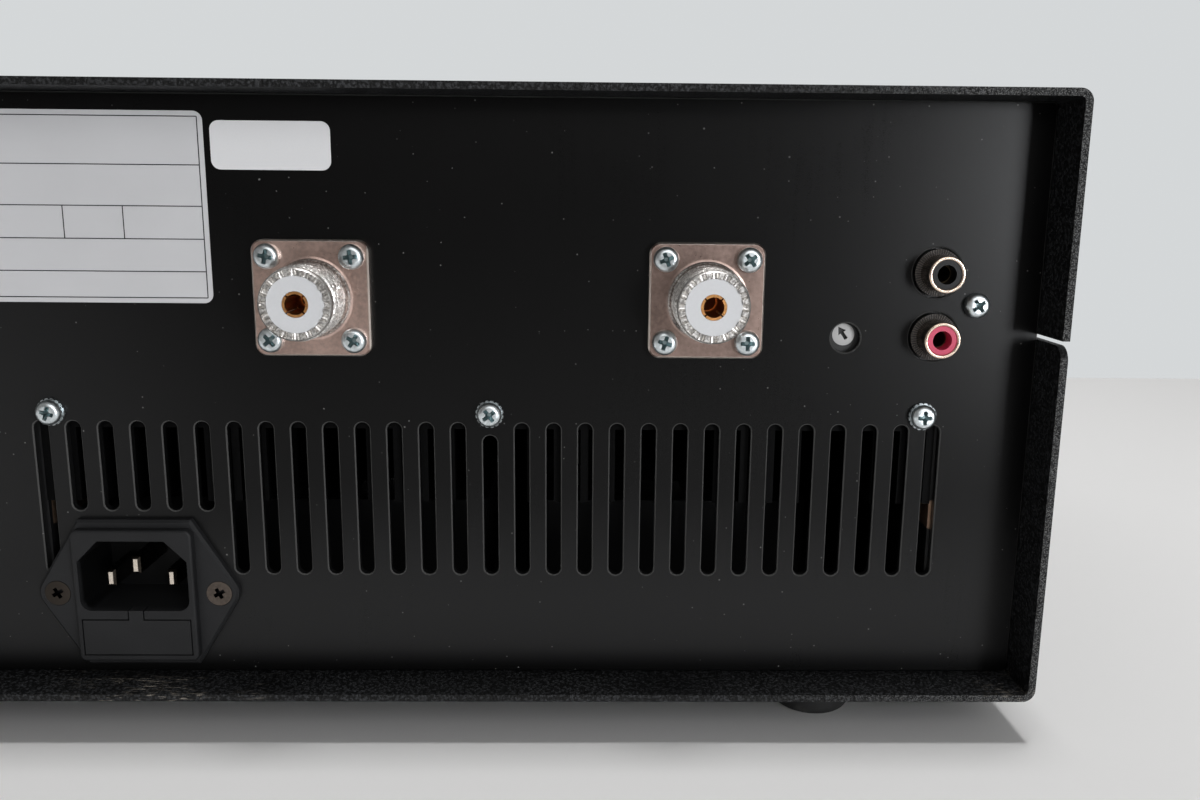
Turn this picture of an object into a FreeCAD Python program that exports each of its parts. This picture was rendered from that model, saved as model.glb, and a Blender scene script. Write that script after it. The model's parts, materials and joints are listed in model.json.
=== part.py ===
"""HF linear amplifier: a desk-top radio power amplifier, one STEP file per piece, in millimetres.

+Z is up, the controls face -Y and the connectors face +Y. The origin lies on the bench, below the
middle of the whole object. A size named _from_low or _from_high is measured from the outer face of
the side wall at low or high X, and one named _height or _rise from the underside of the case. The
phono sockets are beside the wall at low X, and the power supply stands along the wall at high X.
"""
import FreeCAD, Part
import math
import os

Vec = FreeCAD.Vector

# ---------------------------------------------------------------- case
case_width = 324.0
case_height = 135.0
case_depth = 310.0
wall = 1.6
bend_radius = 2.8
seam_height = 82.45
seam_gap = 1.2
seam_corner_radius = 3.5
rear_recess = 12.0
front_recess = 6.0
foot_height = 10.5
foot_radius = 10.0
foot_tip_radius = 9.2
foot_inset_x = 46.5
foot_inset_y = 22.0
foot_round = 2.0
foot_pocket_radius = 3.4
intake_slot_pitch = 8.0
intake_slot_width = 4.0

# ---------------------------------------------------------------- folded panels and rails
sheet = 2.0
flange_depth = 14.0
panel_gap = 0.1
rail_height = 34.0
rail_thickness = 3.0
fascia_thickness = 1.2

# ---------------------------------------------------------------- fits
seat = 0.05
running_fit = 0.05
loose_fit = 0.3
hole_clearance = 0.15

# ---------------------------------------------------------------- cutting
past = 1.0
bite = 0.1
slot_end_share = 0.49
hole_chamfer = 0.3

# ---------------------------------------------------------------- M3 pan-head screws
screw_radius = 1.5
head_radius = 2.8
head_height = 2.0
head_round = 1.3
recess_reach = 1.65
recess_width = 0.9
recess_core = 0.8
recess_depth = 1.6
recess_twist = 37.0
socket_screw_length = 7.0
grille_screw_length = 10.0
phono_screw_length = 8.0
side_screw_length = 6.0
foot_screw_length = 7.5
foot_screw_seat = 4.0

# ---------------------------------------------------------------- ventilation grille
grille_height = 25.8
slot_pitch = 7.21
slot_width = 3.3
slot_length = 36.1
short_slot_length = 20.9
slot_drop_below_screw = 2.9
grille_screw_height = 64.1
grille_screw_inset = 3.9
washer_radius = 3.15
washer_thickness = 0.6
washer_teeth = 16
washer_notch_radius = 0.25

# ---------------------------------------------------------------- RF sockets (25.4 mm square flange)
antenna_from_low = 76.5
transceiver_from_high = 161.0
socket_height = 90.05
socket_flange = 25.4
socket_flange_thickness = 2.0
socket_flange_corner = 2.6
socket_flange_chamfer = 0.3
socket_screw_pitch = 18.2
socket_length = 15.5
thread_radius = 7.94
thread_pitch = 1.058
thread_depth = 0.55
thread_count = 9
barrel_cove = 1.2
nose_radius = 7.65
nose_length = 2.0
nose_notches = 16
nose_notch_radius = 0.8
nose_lip = 0.35
nose_bevel = 0.4
insulator_radius = 5.95
insulator_setback = 0.5
contact_radius = 2.7
contact_bore_radius = 2.15
contact_bore_depth = 13.0
contact_slit = 0.35
contact_slit_depth = 8.0
socket_tail = 9.0
socket_tail_radius = 7.0
contact_tail_radius = 1.7
contact_tail = 5.0

# ---------------------------------------------------------------- phono sockets and level trimmer
phono_from_low = 25.2
phono_height = 89.4
phono_pitch = 14.3
phono_hole_radius = 5.6
phono_collar_radius = 5.2
phono_collar_reach = 0.6
phono_shell_radius = 4.0
phono_shell_wall = 0.8
phono_shell_step = 0.2
phono_reach = 6.4
phono_insert_setback = 0.4
phono_bore_radius = 2.1
phono_bore_depth = 11.0
phono_contact_wall = 0.2
phono_block_depth = 12.0
phono_block_width = 21.0
phono_block_height = 30.0
phono_screw_offset = 9.1
trimmer_from_low = 44.9
trimmer_height = 81.9
trimmer_hole_radius = 3.35
trimmer_rotor_radius = 2.5
trimmer_rotor_lift = 0.5
trimmer_rotor_setback = 2.2
trimmer_body_size = 10.0
trimmer_body_depth = 7.0
trimmer_rotor_depth = 4.5
trimmer_slot = 0.8
trimmer_slot_angle = 35.0

# ---------------------------------------------------------------- mains inlet with fuse drawer
inlet_from_high = 118.2
inlet_height = 21.7
inlet_screw_pitch = 37.0
inlet_flange_height = 35.1
inlet_flange_half_width = 12.9
inlet_ear_radius = 4.4
inlet_flange_thickness = 2.0
inlet_recess_reach = 1.35
inlet_body_width = 27.4
inlet_body_height = 31.6
inlet_reach = 4.2
inlet_length = 27.0
mouth_width = 24.8
mouth_height = 16.7
mouth_rise = 4.95
mouth_chamfer = 4.9
mouth_depth = 17.0
mouth_corner = 2.5
inlet_corner = 1.6
inlet_edge = 0.6
blade_thickness = 2.0
blade_height = 4.0
blade_spacing = 7.0
blade_setback = 4.2
earth_blade_lead = 2.4
blade_bevel = 0.55
blade_line_drop = 2.0
blade_tab = 8.0
drawer_width = 24.4
drawer_height = 8.3
drawer_drop = 9.9
drawer_plate = 2.6
drawer_tab_width = 3.2
tray_width = 22.8
tray_height = 7.2
tray_depth = 15.0
tray_wall = 1.0
fuse_radius = 2.6
fuse_length = 20.0
fuse_cap_length = 4.5
fuse_glass_radius = 2.3
countersink_radius = 2.9

# ---------------------------------------------------------------- stickers
rating_label_from_high = 74.9
rating_label_width = 64.2
rating_label_height = 40.9
rating_label_rise = 88.65
blank_label_from_high = 140.5
blank_label_width = 25.6
blank_label_height = 10.25
blank_label_rise = 117.4
label_corner = 2.0
label_thickness = 0.15

# ---------------------------------------------------------------- heatsink
heatsink_from_low = 22.6
heatsink_from_high = 97.4
heatsink_length = 185.0
heatsink_base = 8.0
fin_height = 17.3
fin_thickness = 1.8
fin_count = 34
heatsink_screw_depth = 10.0
bracket_thickness = 1.2
bracket_foot = 9.0
bracket_top_setback = 3.0

# ---------------------------------------------------------------- RF deck and filter deck
board_thickness = 1.6
rf_board_width = 150.0
rf_board_length = 110.0
rf_board_rise = 5.0
rf_board_from_panel = 34.0
post_radius = 3.0
post_inset = 5.0
transistor_count = 4
transistor_pitch = 30.0
transistor_width = 22.0
transistor_length = 10.0
transistor_height = 7.5
transistor_lid = 12.0
transistor_lid_inset = 0.5
transistor_gap = 0.5
transformer_length = 34.0
transformer_width = 26.0
transformer_height = 15.0
transformer_offset = 34.0
transformer_tube_radius = 5.0
filter_board_width = 150.0
filter_board_length = 80.0
filter_board_rise = 30.0
toroid_columns = 6
toroid_pitch = 21.0
toroid_radius = 8.0
toroid_bore_radius = 4.0
toroid_height = 7.0
relay_length = 16.0
relay_width = 12.0
relay_height = 15.0
relay_gap = 1.0

# ---------------------------------------------------------------- power supply on the high-X wall
supply_board_length = 210.0
supply_board_height = 52.0
supply_board_rise = 10.0
supply_from_front = 40.0
supply_standoff = 6.0
core_depth = 30.0
core_width = 44.0
core_height = 42.0
coil_margin = 3.0
capacitor_radius = 13.0
capacitor_length = 30.0
capacitor_count = 3
capacitor_pitch = 29.0
bridge_width = 22.0
bridge_thickness = 5.0
bridge_height = 20.0

# ---------------------------------------------------------------- fans, flat on the case floor
fan_size = 80.0
fan_depth = 25.0
fan_bore_radius = 38.0
fan_spacing = 92.0
fan_from_panel = 95.0
fan_spoke = 3.0
fan_hub_radius = 17.0
fan_cup_radius = 16.0
fan_cup_drop = 1.0
fan_blade_root = 2.0
fan_blades = 7
fan_blade_thickness = 1.4
fan_blade_depth = 15.0
fan_blade_pitch = 32.0
fan_tip_gap = 0.9
fan_shaft_radius = 1.5
fan_corner = 4.0

# ---------------------------------------------------------------- meters
meter_width = 72.0
meter_height = 50.0
meter_corner = 3.0
meter_wall = 1.8
meter_reach = 2.0
meter_depth = 20.0
meter_rim = 3.0
meter_from_low = 58.0
meter_spacing = 88.0
meter_rise = 92.0
lens_thickness = 2.0
needle_gap = 1.5
needle_length = 33.0
needle_width = 0.8
needle_hub_radius = 2.6
needle_hub_height = 2.0
needle_tail = 4.0
needle_pivot_radius = 1.0
needle_pivot_drop = 18.0
needle_sweep = 90.0
dial_thickness = 0.6

# ---------------------------------------------------------------- band selector
knob_radius = 17.0
knob_length = 20.0
knob_gap = 1.0
knob_skirt_radius = 19.0
knob_skirt_length = 4.0
knob_grooves = 30
knob_groove_radius = 0.8
knob_pointer = 1.6
knob_pointer_depth = 0.6
knob_bevel = 1.5
knob_nut_room = 1.0
knob_from_high = 64.0
knob_rise = 88.0
knob_positions = 6
knob_step = 30.0
shaft_radius = 3.0
shaft_in_knob = 14.0
bushing_radius = 4.75
bushing_nut_radius = 6.5
bushing_nut_height = 2.0
bushing_reach = 3.0
switch_radius = 15.0
switch_depth = 18.0

# ---------------------------------------------------------------- rocker, buttons and lamps
rocker_from_high = 36.0
rocker_rise = 34.0
rocker_width = 13.0
rocker_height = 21.0
rocker_frame_margin = 2.0
rocker_frame_reach = 1.6
rocker_frame_corner = 1.0
rocker_depth = 16.0
rocker_throw = 16.0
rocker_pin_radius = 1.5
rocker_end_gap = 1.2
rocker_dip = 1.6
rocker_front = 7.5
rocker_back = 4.0
rocker_end_back = 1.0
button_count = 3
button_from_low = 42.0
button_pitch = 40.0
button_rise = 34.0
button_size = 12.0
button_corner = 1.0
button_reach = 3.5
button_travel = 2.5
button_flange = 1.5
button_stem_radius = 2.0
lamp_radius = 2.5
lamp_reach = 1.0
lamp_rise = 16.0
lamp_collar = 1.0
control_board_gap = 9.0
control_board_margin = 18.0
control_board_height = 38.0
tact_size = 6.0
tact_height = 3.0

# ---------------------------------------------------------------- places worked out from the sizes
knob_reach = knob_gap + knob_length + fascia_thickness - front_recess
overall_depth = case_depth + knob_reach + socket_length - rear_recess
low_x = -case_width / 2
high_x = case_width / 2
base_z = foot_height
top_z = base_z + case_height
seam_z = base_z + seam_height
front_rim_y = -overall_depth / 2 + knob_reach
rear_rim_y = front_rim_y + case_depth
rear_y = rear_rim_y - rear_recess
rear_back_y = rear_y - sheet
front_y = front_rim_y + front_recess
fascia_y = front_y - fascia_thickness
front_back_y = front_y + sheet
inner_width = case_width - 2 * wall
floor_z = base_z + wall
ceiling_z = top_z - wall

heatsink_width = case_width - heatsink_from_low - heatsink_from_high
grille_x = low_x + heatsink_from_low + heatsink_width / 2
grille_z = base_z + grille_height
grille_screw_z = base_z + grille_screw_height
heatsink_z = grille_screw_z - heatsink_base / 2
deck_z = heatsink_z + heatsink_base
heatsink_front_y = rear_back_y - heatsink_length
fan_y = rear_back_y - fan_from_panel
fan_top_z = floor_z + fan_depth
inlet_x = high_x - inlet_from_high
inlet_z = base_z + inlet_height
phono_x = low_x + phono_from_low
phono_z = base_z + phono_height
socket_z = base_z + socket_height
rf_board_x = grille_x
rf_board_z = deck_z + rf_board_rise
rf_board_back_y = rear_back_y - rf_board_from_panel
filter_board_z = deck_z + filter_board_rise
supply_x = high_x - wall - supply_standoff
supply_z = floor_z + supply_board_rise
supply_front_y = front_back_y + supply_from_front
knob_x = high_x - knob_from_high
knob_z = base_z + knob_rise
rocker_x = high_x - rocker_from_high
rocker_z = base_z + rocker_rise
button_z = base_z + button_rise
lamp_z = button_z + lamp_rise
meter_z = base_z + meter_rise
control_board_y = front_back_y + control_board_gap

slot_count = int(heatsink_width / slot_pitch) + 1
slot_xs = [grille_x + (i - (slot_count - 1) / 2) * slot_pitch for i in range(slot_count)]
grille_screw_reach = heatsink_width / 2 - grille_screw_inset
grille_screw_xs = [grille_x + k * grille_screw_reach for k in (-1, 0, 1)]
socket_xs = [low_x + antenna_from_low, high_x - transceiver_from_high]
trimmer_x = low_x + trimmer_from_low
trimmer_z = base_z + trimmer_height
rotor_z = trimmer_z + trimmer_rotor_lift
phono_zs = [phono_z + phono_pitch / 2, phono_z - phono_pitch / 2]
fan_xs = [grille_x - fan_spacing / 2, grille_x + fan_spacing / 2]
meter_xs = [low_x + meter_from_low, low_x + meter_from_low + meter_spacing]
button_xs = [low_x + button_from_low + i * button_pitch for i in range(button_count)]
rail_screw_zs = [seam_z - rail_height / 4, seam_z + rail_height / 4]
side_screw_ys = [
    front_back_y + flange_depth / 2,
    (front_back_y + rear_back_y) / 2,
    rear_back_y - flange_depth / 2,
]


# ---------------------------------------------------------------- shape helpers
def span(centre, size):
    """The low and high ends of a length about its centre."""
    return centre - size / 2, centre + size / 2


def block(x, y, z):
    """A box from three (low, high) pairs."""
    return Part.makeBox(x[1] - x[0], y[1] - y[0], z[1] - z[0], Vec(x[0], y[0], z[0]))


def parallel_edges(shape, axis):
    """The straight edges that run along one axis: 0, 1 or 2 for X, Y or Z."""
    chosen = []
    for edge in shape.Edges:
        start, end = edge.Vertexes[0].Point, edge.Vertexes[-1].Point
        move = [abs(end[i] - start[i]) for i in range(3)]
        if move[axis] > 1e-6 and sum(move) - move[axis] < 1e-6:
            chosen.append(edge)
    return chosen


def rounded(x, y, z, radius, axis=1):
    """A box whose four edges along one axis are rounded."""
    shape = block(x, y, z)
    return shape.makeFillet(radius, parallel_edges(shape, axis))


def rod(x, z, radius, y):
    """A cylinder along Y."""
    return Part.makeCylinder(radius, y[1] - y[0], Vec(x, y[0], z), Vec(0, 1, 0))


def through(ends):
    """A pair of ends moved apart, so that a cutter runs past both faces."""
    return ends[0] - past, ends[1] + past


def tube(x, z, outer, inner, y):
    """A pipe along Y."""
    return rod(x, z, outer, y).cut(rod(x, z, inner, through(y)))


def edges_on(shape, y, inside=None):
    """The edges that lie in one Y plane, if given only those that a test of their box accepts."""
    boxes = [(edge, edge.BoundBox) for edge in shape.Edges]
    return [edge for edge, box in boxes
            if box.YMin > y - 1e-6 and box.YMax < y + 1e-6 and (inside is None or inside(box))]


def post(x, y, radius, z):
    """A cylinder along Z."""
    return Part.makeCylinder(radius, z[1] - z[0], Vec(x, y, z[0]))


def turned(x, z, profile):
    """A solid of revolution about the Y line through (x, z), from (radius, y) points."""
    points = [Vec(x + radius, y, z) for radius, y in profile]
    face = Part.Face(Part.makePolygon(points + points[:1]))
    return face.revolve(Vec(x, 0, z), Vec(0, 1, 0), 360)


def outline(points, y):
    """A plate with a straight-sided outline of (x, z) points, between two Y planes."""
    corners = [Vec(x, y[0], z) for x, z in points]
    return Part.Face(Part.makePolygon(corners + corners[:1])).extrude(Vec(0, y[1] - y[0], 0))


def turn(shape, degrees, x, z):
    """A copy turned about the Y line through (x, z)."""
    copy = shape.copy()
    copy.rotate(Vec(x, 0, z), Vec(0, 1, 0), degrees)
    return copy


def spin(shape, degrees, x, y):
    """A copy turned about the upright line through (x, y)."""
    copy = shape.copy()
    copy.rotate(Vec(x, y, 0), Vec(0, 0, 1), degrees)
    return copy


def merge(shapes):
    """One solid from overlapping or touching shapes."""
    return shapes[0].multiFuse(shapes[1:]).removeSplitter()


def group(shapes):
    """Separate solids kept together in one node."""
    return Part.makeCompound(shapes)


# ---------------------------------------------------------------- fasteners
def pan_screw(point, out, length, twist=0.0):
    """An M3 pan-head screw with a cross recess; the point is under the head, on its axis."""
    shank = Part.makeCylinder(screw_radius, length, Vec(0, 0, -length))
    head = Part.makeCylinder(head_radius, head_height)
    top_edge = [edge for edge in head.Edges if edge.BoundBox.ZMin > head_height - 1e-6]
    head = head.makeFillet(min(head_round, 0.9 * head_height), top_edge)
    arms = [
        block(span(0, 2 * recess_reach), span(0, recess_width), (0, head_height)),
        block(span(0, recess_width), span(0, 2 * recess_reach), (0, head_height)),
    ]
    floor = Vec(0, 0, head_height - recess_depth)
    taper = Part.makeCone(recess_width / 2, recess_reach, recess_depth, floor)
    core = Part.makeCone(recess_width / 2, recess_core, recess_depth, floor)
    recess = spin(arms[0].fuse(arms[1]).common(taper).fuse(core), twist, 0, 0)
    screw = merge([head, shank]).cut(recess)
    screw.Placement = FreeCAD.Placement(point, FreeCAD.Rotation(Vec(0, 0, 1), out))
    return screw


def screw_row(points, out, length):
    """Pan-head screws that were driven home at different turns."""
    return [pan_screw(point, out, length, i * recess_twist) for i, point in enumerate(points)]


def screw_hole(point, out, length):
    """The round hole that a pan-head screw's shank passes through."""
    return Part.makeCylinder(screw_radius + hole_clearance, length + 2 * past,
                             point + out * past, out * -1)


def socket_screw_points():
    reach = socket_screw_pitch / 2
    y = rear_y + socket_flange_thickness
    return [Vec(x + i * reach, y, socket_z + k * reach)
            for x in socket_xs for i in (-1, 1) for k in (-1, 1)]


def grille_screw_points():
    return [Vec(x, rear_y + washer_thickness, grille_screw_z) for x in grille_screw_xs]


def phono_screw_point():
    return Vec(phono_x - phono_screw_offset, rear_y, phono_z)


def side_screws():
    """Under-head point and outward direction of each screw in the side walls."""
    return [(Vec(s * case_width / 2, y, z), Vec(s, 0, 0))
            for s in (-1, 1) for y in side_screw_ys for z in rail_screw_zs]


def foot_centres():
    x_reach = case_width / 2 - foot_inset_x
    return [(s * x_reach, y)
            for s in (-1, 1) for y in (front_rim_y + foot_inset_y, rear_rim_y - foot_inset_y)]


def panel_screws():
    """The screws that hold the RF sockets and the phono block to the rear panel."""
    back = Vec(0, 1, 0)
    return group(screw_row(socket_screw_points(), back, socket_screw_length)
                 + [pan_screw(phono_screw_point(), back, phono_screw_length, recess_twist)])


def grille_screws():
    return group(screw_row(grille_screw_points(), Vec(0, 1, 0), grille_screw_length))


def lock_washers():
    """External-tooth lock washers under the three grille screws."""
    washers = []
    for x in grille_screw_xs:
        y = (rear_y, rear_y + washer_thickness)
        washer = tube(x, grille_screw_z, washer_radius, screw_radius + hole_clearance, y)
        notch = rod(x + washer_radius, grille_screw_z, washer_notch_radius, y)
        notches = [turn(notch, 360 * i / washer_teeth, x, grille_screw_z)
                   for i in range(washer_teeth)]
        washers.append(washer.cut(group(notches)))
    return group(washers)


def cover_screws():
    return group([pan_screw(point, out, side_screw_length, i * recess_twist)
                  for i, (point, out) in enumerate(side_screws())])


def foot_screws():
    return group([pan_screw(Vec(x, y, foot_screw_seat), Vec(0, 0, -1), foot_screw_length)
                  for x, y in foot_centres()])


# ---------------------------------------------------------------- covers, feet and stickers
def case_shell():
    """The folded steel skin before it is parted at the seam."""
    y = (front_rim_y, rear_rim_y)
    outer = rounded(span(0, case_width), y, (base_z, top_z), bend_radius)
    inner = rounded(span(0, inner_width), through(y), (floor_z, ceiling_z), bend_radius - wall)
    return outer.cut(inner)


def side_holes():
    return group([screw_hole(point, out, side_screw_length) for point, out in side_screws()])


def intake_slots():
    """Parallel slots through the floor below each fan, cut off at the fan's bore."""
    z = through((base_z, floor_z))
    rows = int((fan_bore_radius - intake_slot_width) / intake_slot_pitch)
    slots = []
    for row in range(-rows, rows + 1):
        across = row * intake_slot_pitch
        edge = abs(across) + intake_slot_width / 2
        reach = math.sqrt(fan_bore_radius ** 2 - edge ** 2) - wall
        slots += [rounded((x - reach, x + reach), span(fan_y + across, intake_slot_width), z,
                          slot_end_share * intake_slot_width, axis=2) for x in fan_xs]
    return group(slots)


def top_cover():
    """The upper U: top plate and both side walls down to the seam, with square corners."""
    upper = block(through(span(0, case_width)), through((front_rim_y, rear_rim_y)),
                  (seam_z + seam_gap / 2, top_z + past))
    return case_shell().common(upper).cut(side_holes())


def bottom_cover():
    """The lower U: floor and both side walls up to the seam, with rounded end corners."""
    lower = rounded(through(span(0, case_width)), (front_rim_y, rear_rim_y),
                    (base_z - 2 * seam_corner_radius, seam_z - seam_gap / 2),
                    seam_corner_radius, axis=0)
    radius = screw_radius + hole_clearance
    foot_holes = [post(x, y, radius, through((base_z, floor_z))) for x, y in foot_centres()]
    holes = group([side_holes(), intake_slots()] + foot_holes)
    return case_shell().common(lower).cut(holes)


def feet():
    """Rubber feet, each with a pocket for its screw's head."""
    feet_shapes = []
    for x, y in foot_centres():
        foot = Part.makeCone(foot_tip_radius, foot_radius, foot_height, Vec(x, y, 0))
        rim = [edge for edge in foot.Edges if edge.BoundBox.ZMax < 1e-6]
        foot = foot.makeFillet(foot_round, rim)
        foot = foot.cut(post(x, y, foot_pocket_radius, (-past, foot_screw_seat)))
        hole_radius = screw_radius + hole_clearance
        feet_shapes.append(foot.cut(post(x, y, hole_radius, through((0, foot_height)))))
    return group(feet_shapes)


def sticker(from_high, width, rise, height):
    """A thin label with rounded corners on the rear panel."""
    x = high_x - from_high
    z = base_z + rise
    return rounded((x - width, x), (rear_y, rear_y + label_thickness), (z, z + height),
                   label_corner)


# ---------------------------------------------------------------- panels and rails
def folded_pan(plate_y, fold_y):
    """A panel folded along all four edges, with the folds reaching into the case."""
    width = inner_width - 2 * panel_gap
    z = (floor_z + panel_gap, ceiling_z - panel_gap)
    y = (min(plate_y + fold_y), max(plate_y + fold_y))
    outer = rounded(span(0, width), y, z, bend_radius - wall)
    hollow = block(span(0, width - 2 * sheet), fold_y, (z[0] + sheet, z[1] - sheet))
    return outer.cut(hollow).cut(side_holes())


def grille_slots():
    """The row of slots: short above the mains inlet, and lower-topped below a screw."""
    slots = []
    y = through((rear_back_y, rear_y))
    top = grille_z + slot_length
    for x in slot_xs:
        over_inlet = abs(x - inlet_x) < (inlet_body_width + slot_pitch) / 2
        bottom = top - short_slot_length if over_inlet else grille_z
        below_screw = min(abs(x - screw_x) for screw_x in grille_screw_xs) < slot_pitch / 4
        drop = slot_drop_below_screw if below_screw else 0.0
        slots.append(rounded(span(x, slot_width), y, (bottom, top - drop),
                             slot_end_share * slot_width))
    return group(slots)


def rear_panel():
    """The rear pan, with every hole's edge broken where it shows."""
    pan = folded_pan((rear_back_y, rear_y), (rear_back_y - flange_depth, rear_back_y))
    y = through((rear_back_y, rear_y))
    back = Vec(0, 1, 0)
    holes = [screw_hole(p, back, socket_screw_length) for p in socket_screw_points()]
    holes += [screw_hole(p, back, grille_screw_length) for p in grille_screw_points()]
    holes += [screw_hole(phono_screw_point(), back, phono_screw_length)]
    holes += [rod(x, socket_z, socket_tail_radius + loose_fit, y) for x in socket_xs]
    holes += [rod(phono_x, z, phono_hole_radius, y) for z in phono_zs]
    holes += [rod(trimmer_x, trimmer_z, trimmer_hole_radius, y)]
    holes += [rod(x, inlet_z, screw_radius + hole_clearance, y) for x in inlet_screw_xs()]
    holes += [rounded(span(inlet_x, inlet_body_width + 2 * loose_fit), y,
                      span(inlet_z, inlet_body_height + 2 * loose_fit), inlet_corner)]
    panel = pan.cut(group(holes)).cut(grille_slots())
    rims = edges_on(panel, rear_y, lambda box: box.XLength < slot_length and box.ZLength < slot_length)
    return panel.makeChamfer(hole_chamfer, rims)


def front_openings(y):
    """Everything that passes through the front panel and the fascia."""
    slack = 2 * hole_clearance
    openings = [rounded(span(x, meter_width + slack), y, span(meter_z, meter_height + slack),
                        meter_corner) for x in meter_xs]
    openings += [rounded(span(x, button_size + 2 * loose_fit), y,
                         span(button_z, button_size + 2 * loose_fit), button_corner)
                 for x in button_xs]
    openings += [rod(x, lamp_z, lamp_radius + hole_clearance, y) for x in button_xs]
    openings += [rod(knob_x, knob_z, bushing_radius + hole_clearance, y)]
    openings += [block(span(rocker_x, rocker_width + rocker_frame_margin + slack), y,
                       span(rocker_z, rocker_height + rocker_frame_margin + slack))]
    return group(openings)


def front_panel():
    pan = folded_pan((front_y, front_back_y), (front_back_y, front_back_y + flange_depth))
    return pan.cut(front_openings(through((front_y, front_back_y))))


def front_fascia():
    """The thin finished plate bonded to the front panel."""
    plate = rounded(span(0, inner_width - 2 * panel_gap), (fascia_y, front_y),
                    (floor_z + panel_gap, ceiling_z - panel_gap), bend_radius - wall)
    return plate.cut(front_openings(through((fascia_y, front_y))))


def side_rails():
    """Flat bars inside the side walls that both covers screw to across the seam."""
    y = (front_back_y + flange_depth, rear_back_y - flange_depth)
    outer_x = case_width / 2 - wall
    z = span(seam_z, rail_height)
    rails = [block((-outer_x, rail_thickness - outer_x), y, z),
             block((outer_x - rail_thickness, outer_x), y, z)]
    return group([rail.cut(side_holes()) for rail in rails])


# ---------------------------------------------------------------- RF sockets
def socket_profile():
    """Half-section of the barrel as (radius, y): a cove at its foot, thread crests and roots,
    then a plain nose."""
    y = rear_y + socket_flange_thickness
    root = thread_radius - thread_depth
    tip_y = rear_y + socket_length
    foot = thread_radius + barrel_cove
    steps = 4
    angles = [math.pi / 2 * i / steps for i in range(steps + 1)]
    points = [(0, rear_y), (foot, rear_y)]
    points += [(foot - barrel_cove * math.sin(a), y + barrel_cove * (1 - math.cos(a)))
               for a in angles]
    points.append((root, y + barrel_cove))
    first = tip_y - nose_length - thread_count * thread_pitch
    for i in range(thread_count):
        start = first + i * thread_pitch
        points += [(root, start), (thread_radius, start + 0.4 * thread_pitch),
                   (thread_radius, start + 0.6 * thread_pitch)]
    neck = nose_radius - nose_bevel
    return points + [(neck, tip_y - nose_length), (nose_radius, tip_y - nose_length),
                     (nose_radius, tip_y - nose_bevel), (neck, tip_y), (0, tip_y)]


def socket_shells():
    """Square flange, threaded barrel with a pitted nose, and a round tail inside the case."""
    flange_y = (rear_y, rear_y + socket_flange_thickness)
    tip_y = rear_y + socket_length
    shells = []
    for x in socket_xs:
        flange = rounded(span(x, socket_flange), flange_y, span(socket_z, socket_flange),
                         socket_flange_corner)
        flange = flange.makeChamfer(socket_flange_chamfer, edges_on(flange, flange_y[1]))
        barrel = turned(x, socket_z, socket_profile())
        tail = rod(x, socket_z, socket_tail_radius, (rear_back_y - socket_tail, rear_y))
        shell = merge([flange, barrel, tail])
        bore = rod(x, socket_z, insulator_radius + seat,
                   through((rear_back_y - socket_tail, tip_y)))
        notch = Part.makeCylinder(nose_notch_radius, nose_radius - nose_lip,
                                  Vec(x, tip_y, socket_z), Vec(1, 0, 0))
        notches = [turn(notch, 360 * i / nose_notches, x, socket_z) for i in range(nose_notches)]
        shells.append(shell.cut(bore).cut(group(notches)))
    holes = [screw_hole(p, Vec(0, 1, 0), socket_screw_length) for p in socket_screw_points()]
    return group([shell.cut(group(holes)) for shell in shells])


def socket_insulators():
    y = (rear_back_y - socket_tail, rear_y + socket_length - insulator_setback)
    return group([tube(x, socket_z, insulator_radius, contact_radius + seat, y)
                  for x in socket_xs])


def socket_contacts():
    """Slit tubes that grip a plug's pin, with a solder tail behind."""
    tip_y = rear_y + socket_length - insulator_setback
    back_y = rear_back_y - socket_tail
    contacts = []
    for x in socket_xs:
        stem = merge([rod(x, socket_z, contact_radius, (back_y, tip_y)),
                      rod(x, socket_z, contact_tail_radius, (back_y - contact_tail, back_y))])
        bore = rod(x, socket_z, contact_bore_radius, (tip_y - contact_bore_depth, tip_y + past))
        slit = block(span(x, contact_slit), (tip_y - contact_slit_depth, tip_y + past),
                     through(span(socket_z, 2 * contact_radius)))
        slits = [turn(slit, degrees, x, socket_z) for degrees in (45, 135)]
        contacts.append(stem.cut(group([bore] + slits)))
    return group(contacts)


# ---------------------------------------------------------------- phono sockets and trimmer
def phono_block():
    """The moulded body behind the panel, with a collar through each panel hole."""
    end_x = phono_x - phono_screw_offset - 2 * screw_radius
    body = block((end_x, end_x + phono_block_width), (rear_back_y - phono_block_depth, rear_back_y),
                 span(phono_z, phono_block_height))
    collars = [rod(phono_x, z, phono_collar_radius, (rear_back_y, rear_y + phono_collar_reach))
               for z in phono_zs]
    bores = [rod(phono_x, z, phono_shell_radius - phono_shell_step + seat,
                 through((rear_back_y - phono_block_depth, rear_y + phono_collar_reach)))
             for z in phono_zs]
    bores.append(screw_hole(phono_screw_point(), Vec(0, 1, 0), phono_screw_length))
    return merge([body] + collars).cut(group(bores))


def phono_shells():
    """Nickel sleeves, stepped in where they enter the block."""
    y = (rear_back_y - phono_block_depth, rear_y + phono_reach)
    step_y = rear_y + phono_collar_reach
    bore = phono_shell_radius - phono_shell_wall
    shells = []
    for z in phono_zs:
        sleeve = merge([rod(phono_x, z, phono_shell_radius, (step_y, y[1])),
                        rod(phono_x, z, phono_shell_radius - phono_shell_step, (y[0], step_y))])
        shell = sleeve.cut(rod(phono_x, z, bore, through(y)))
        tip = [edge for edge in shell.Edges if edge.BoundBox.YMin > y[1] - 1e-6]
        shells.append(shell.makeFillet(0.4 * phono_shell_wall, tip))
    return group(shells)


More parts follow.
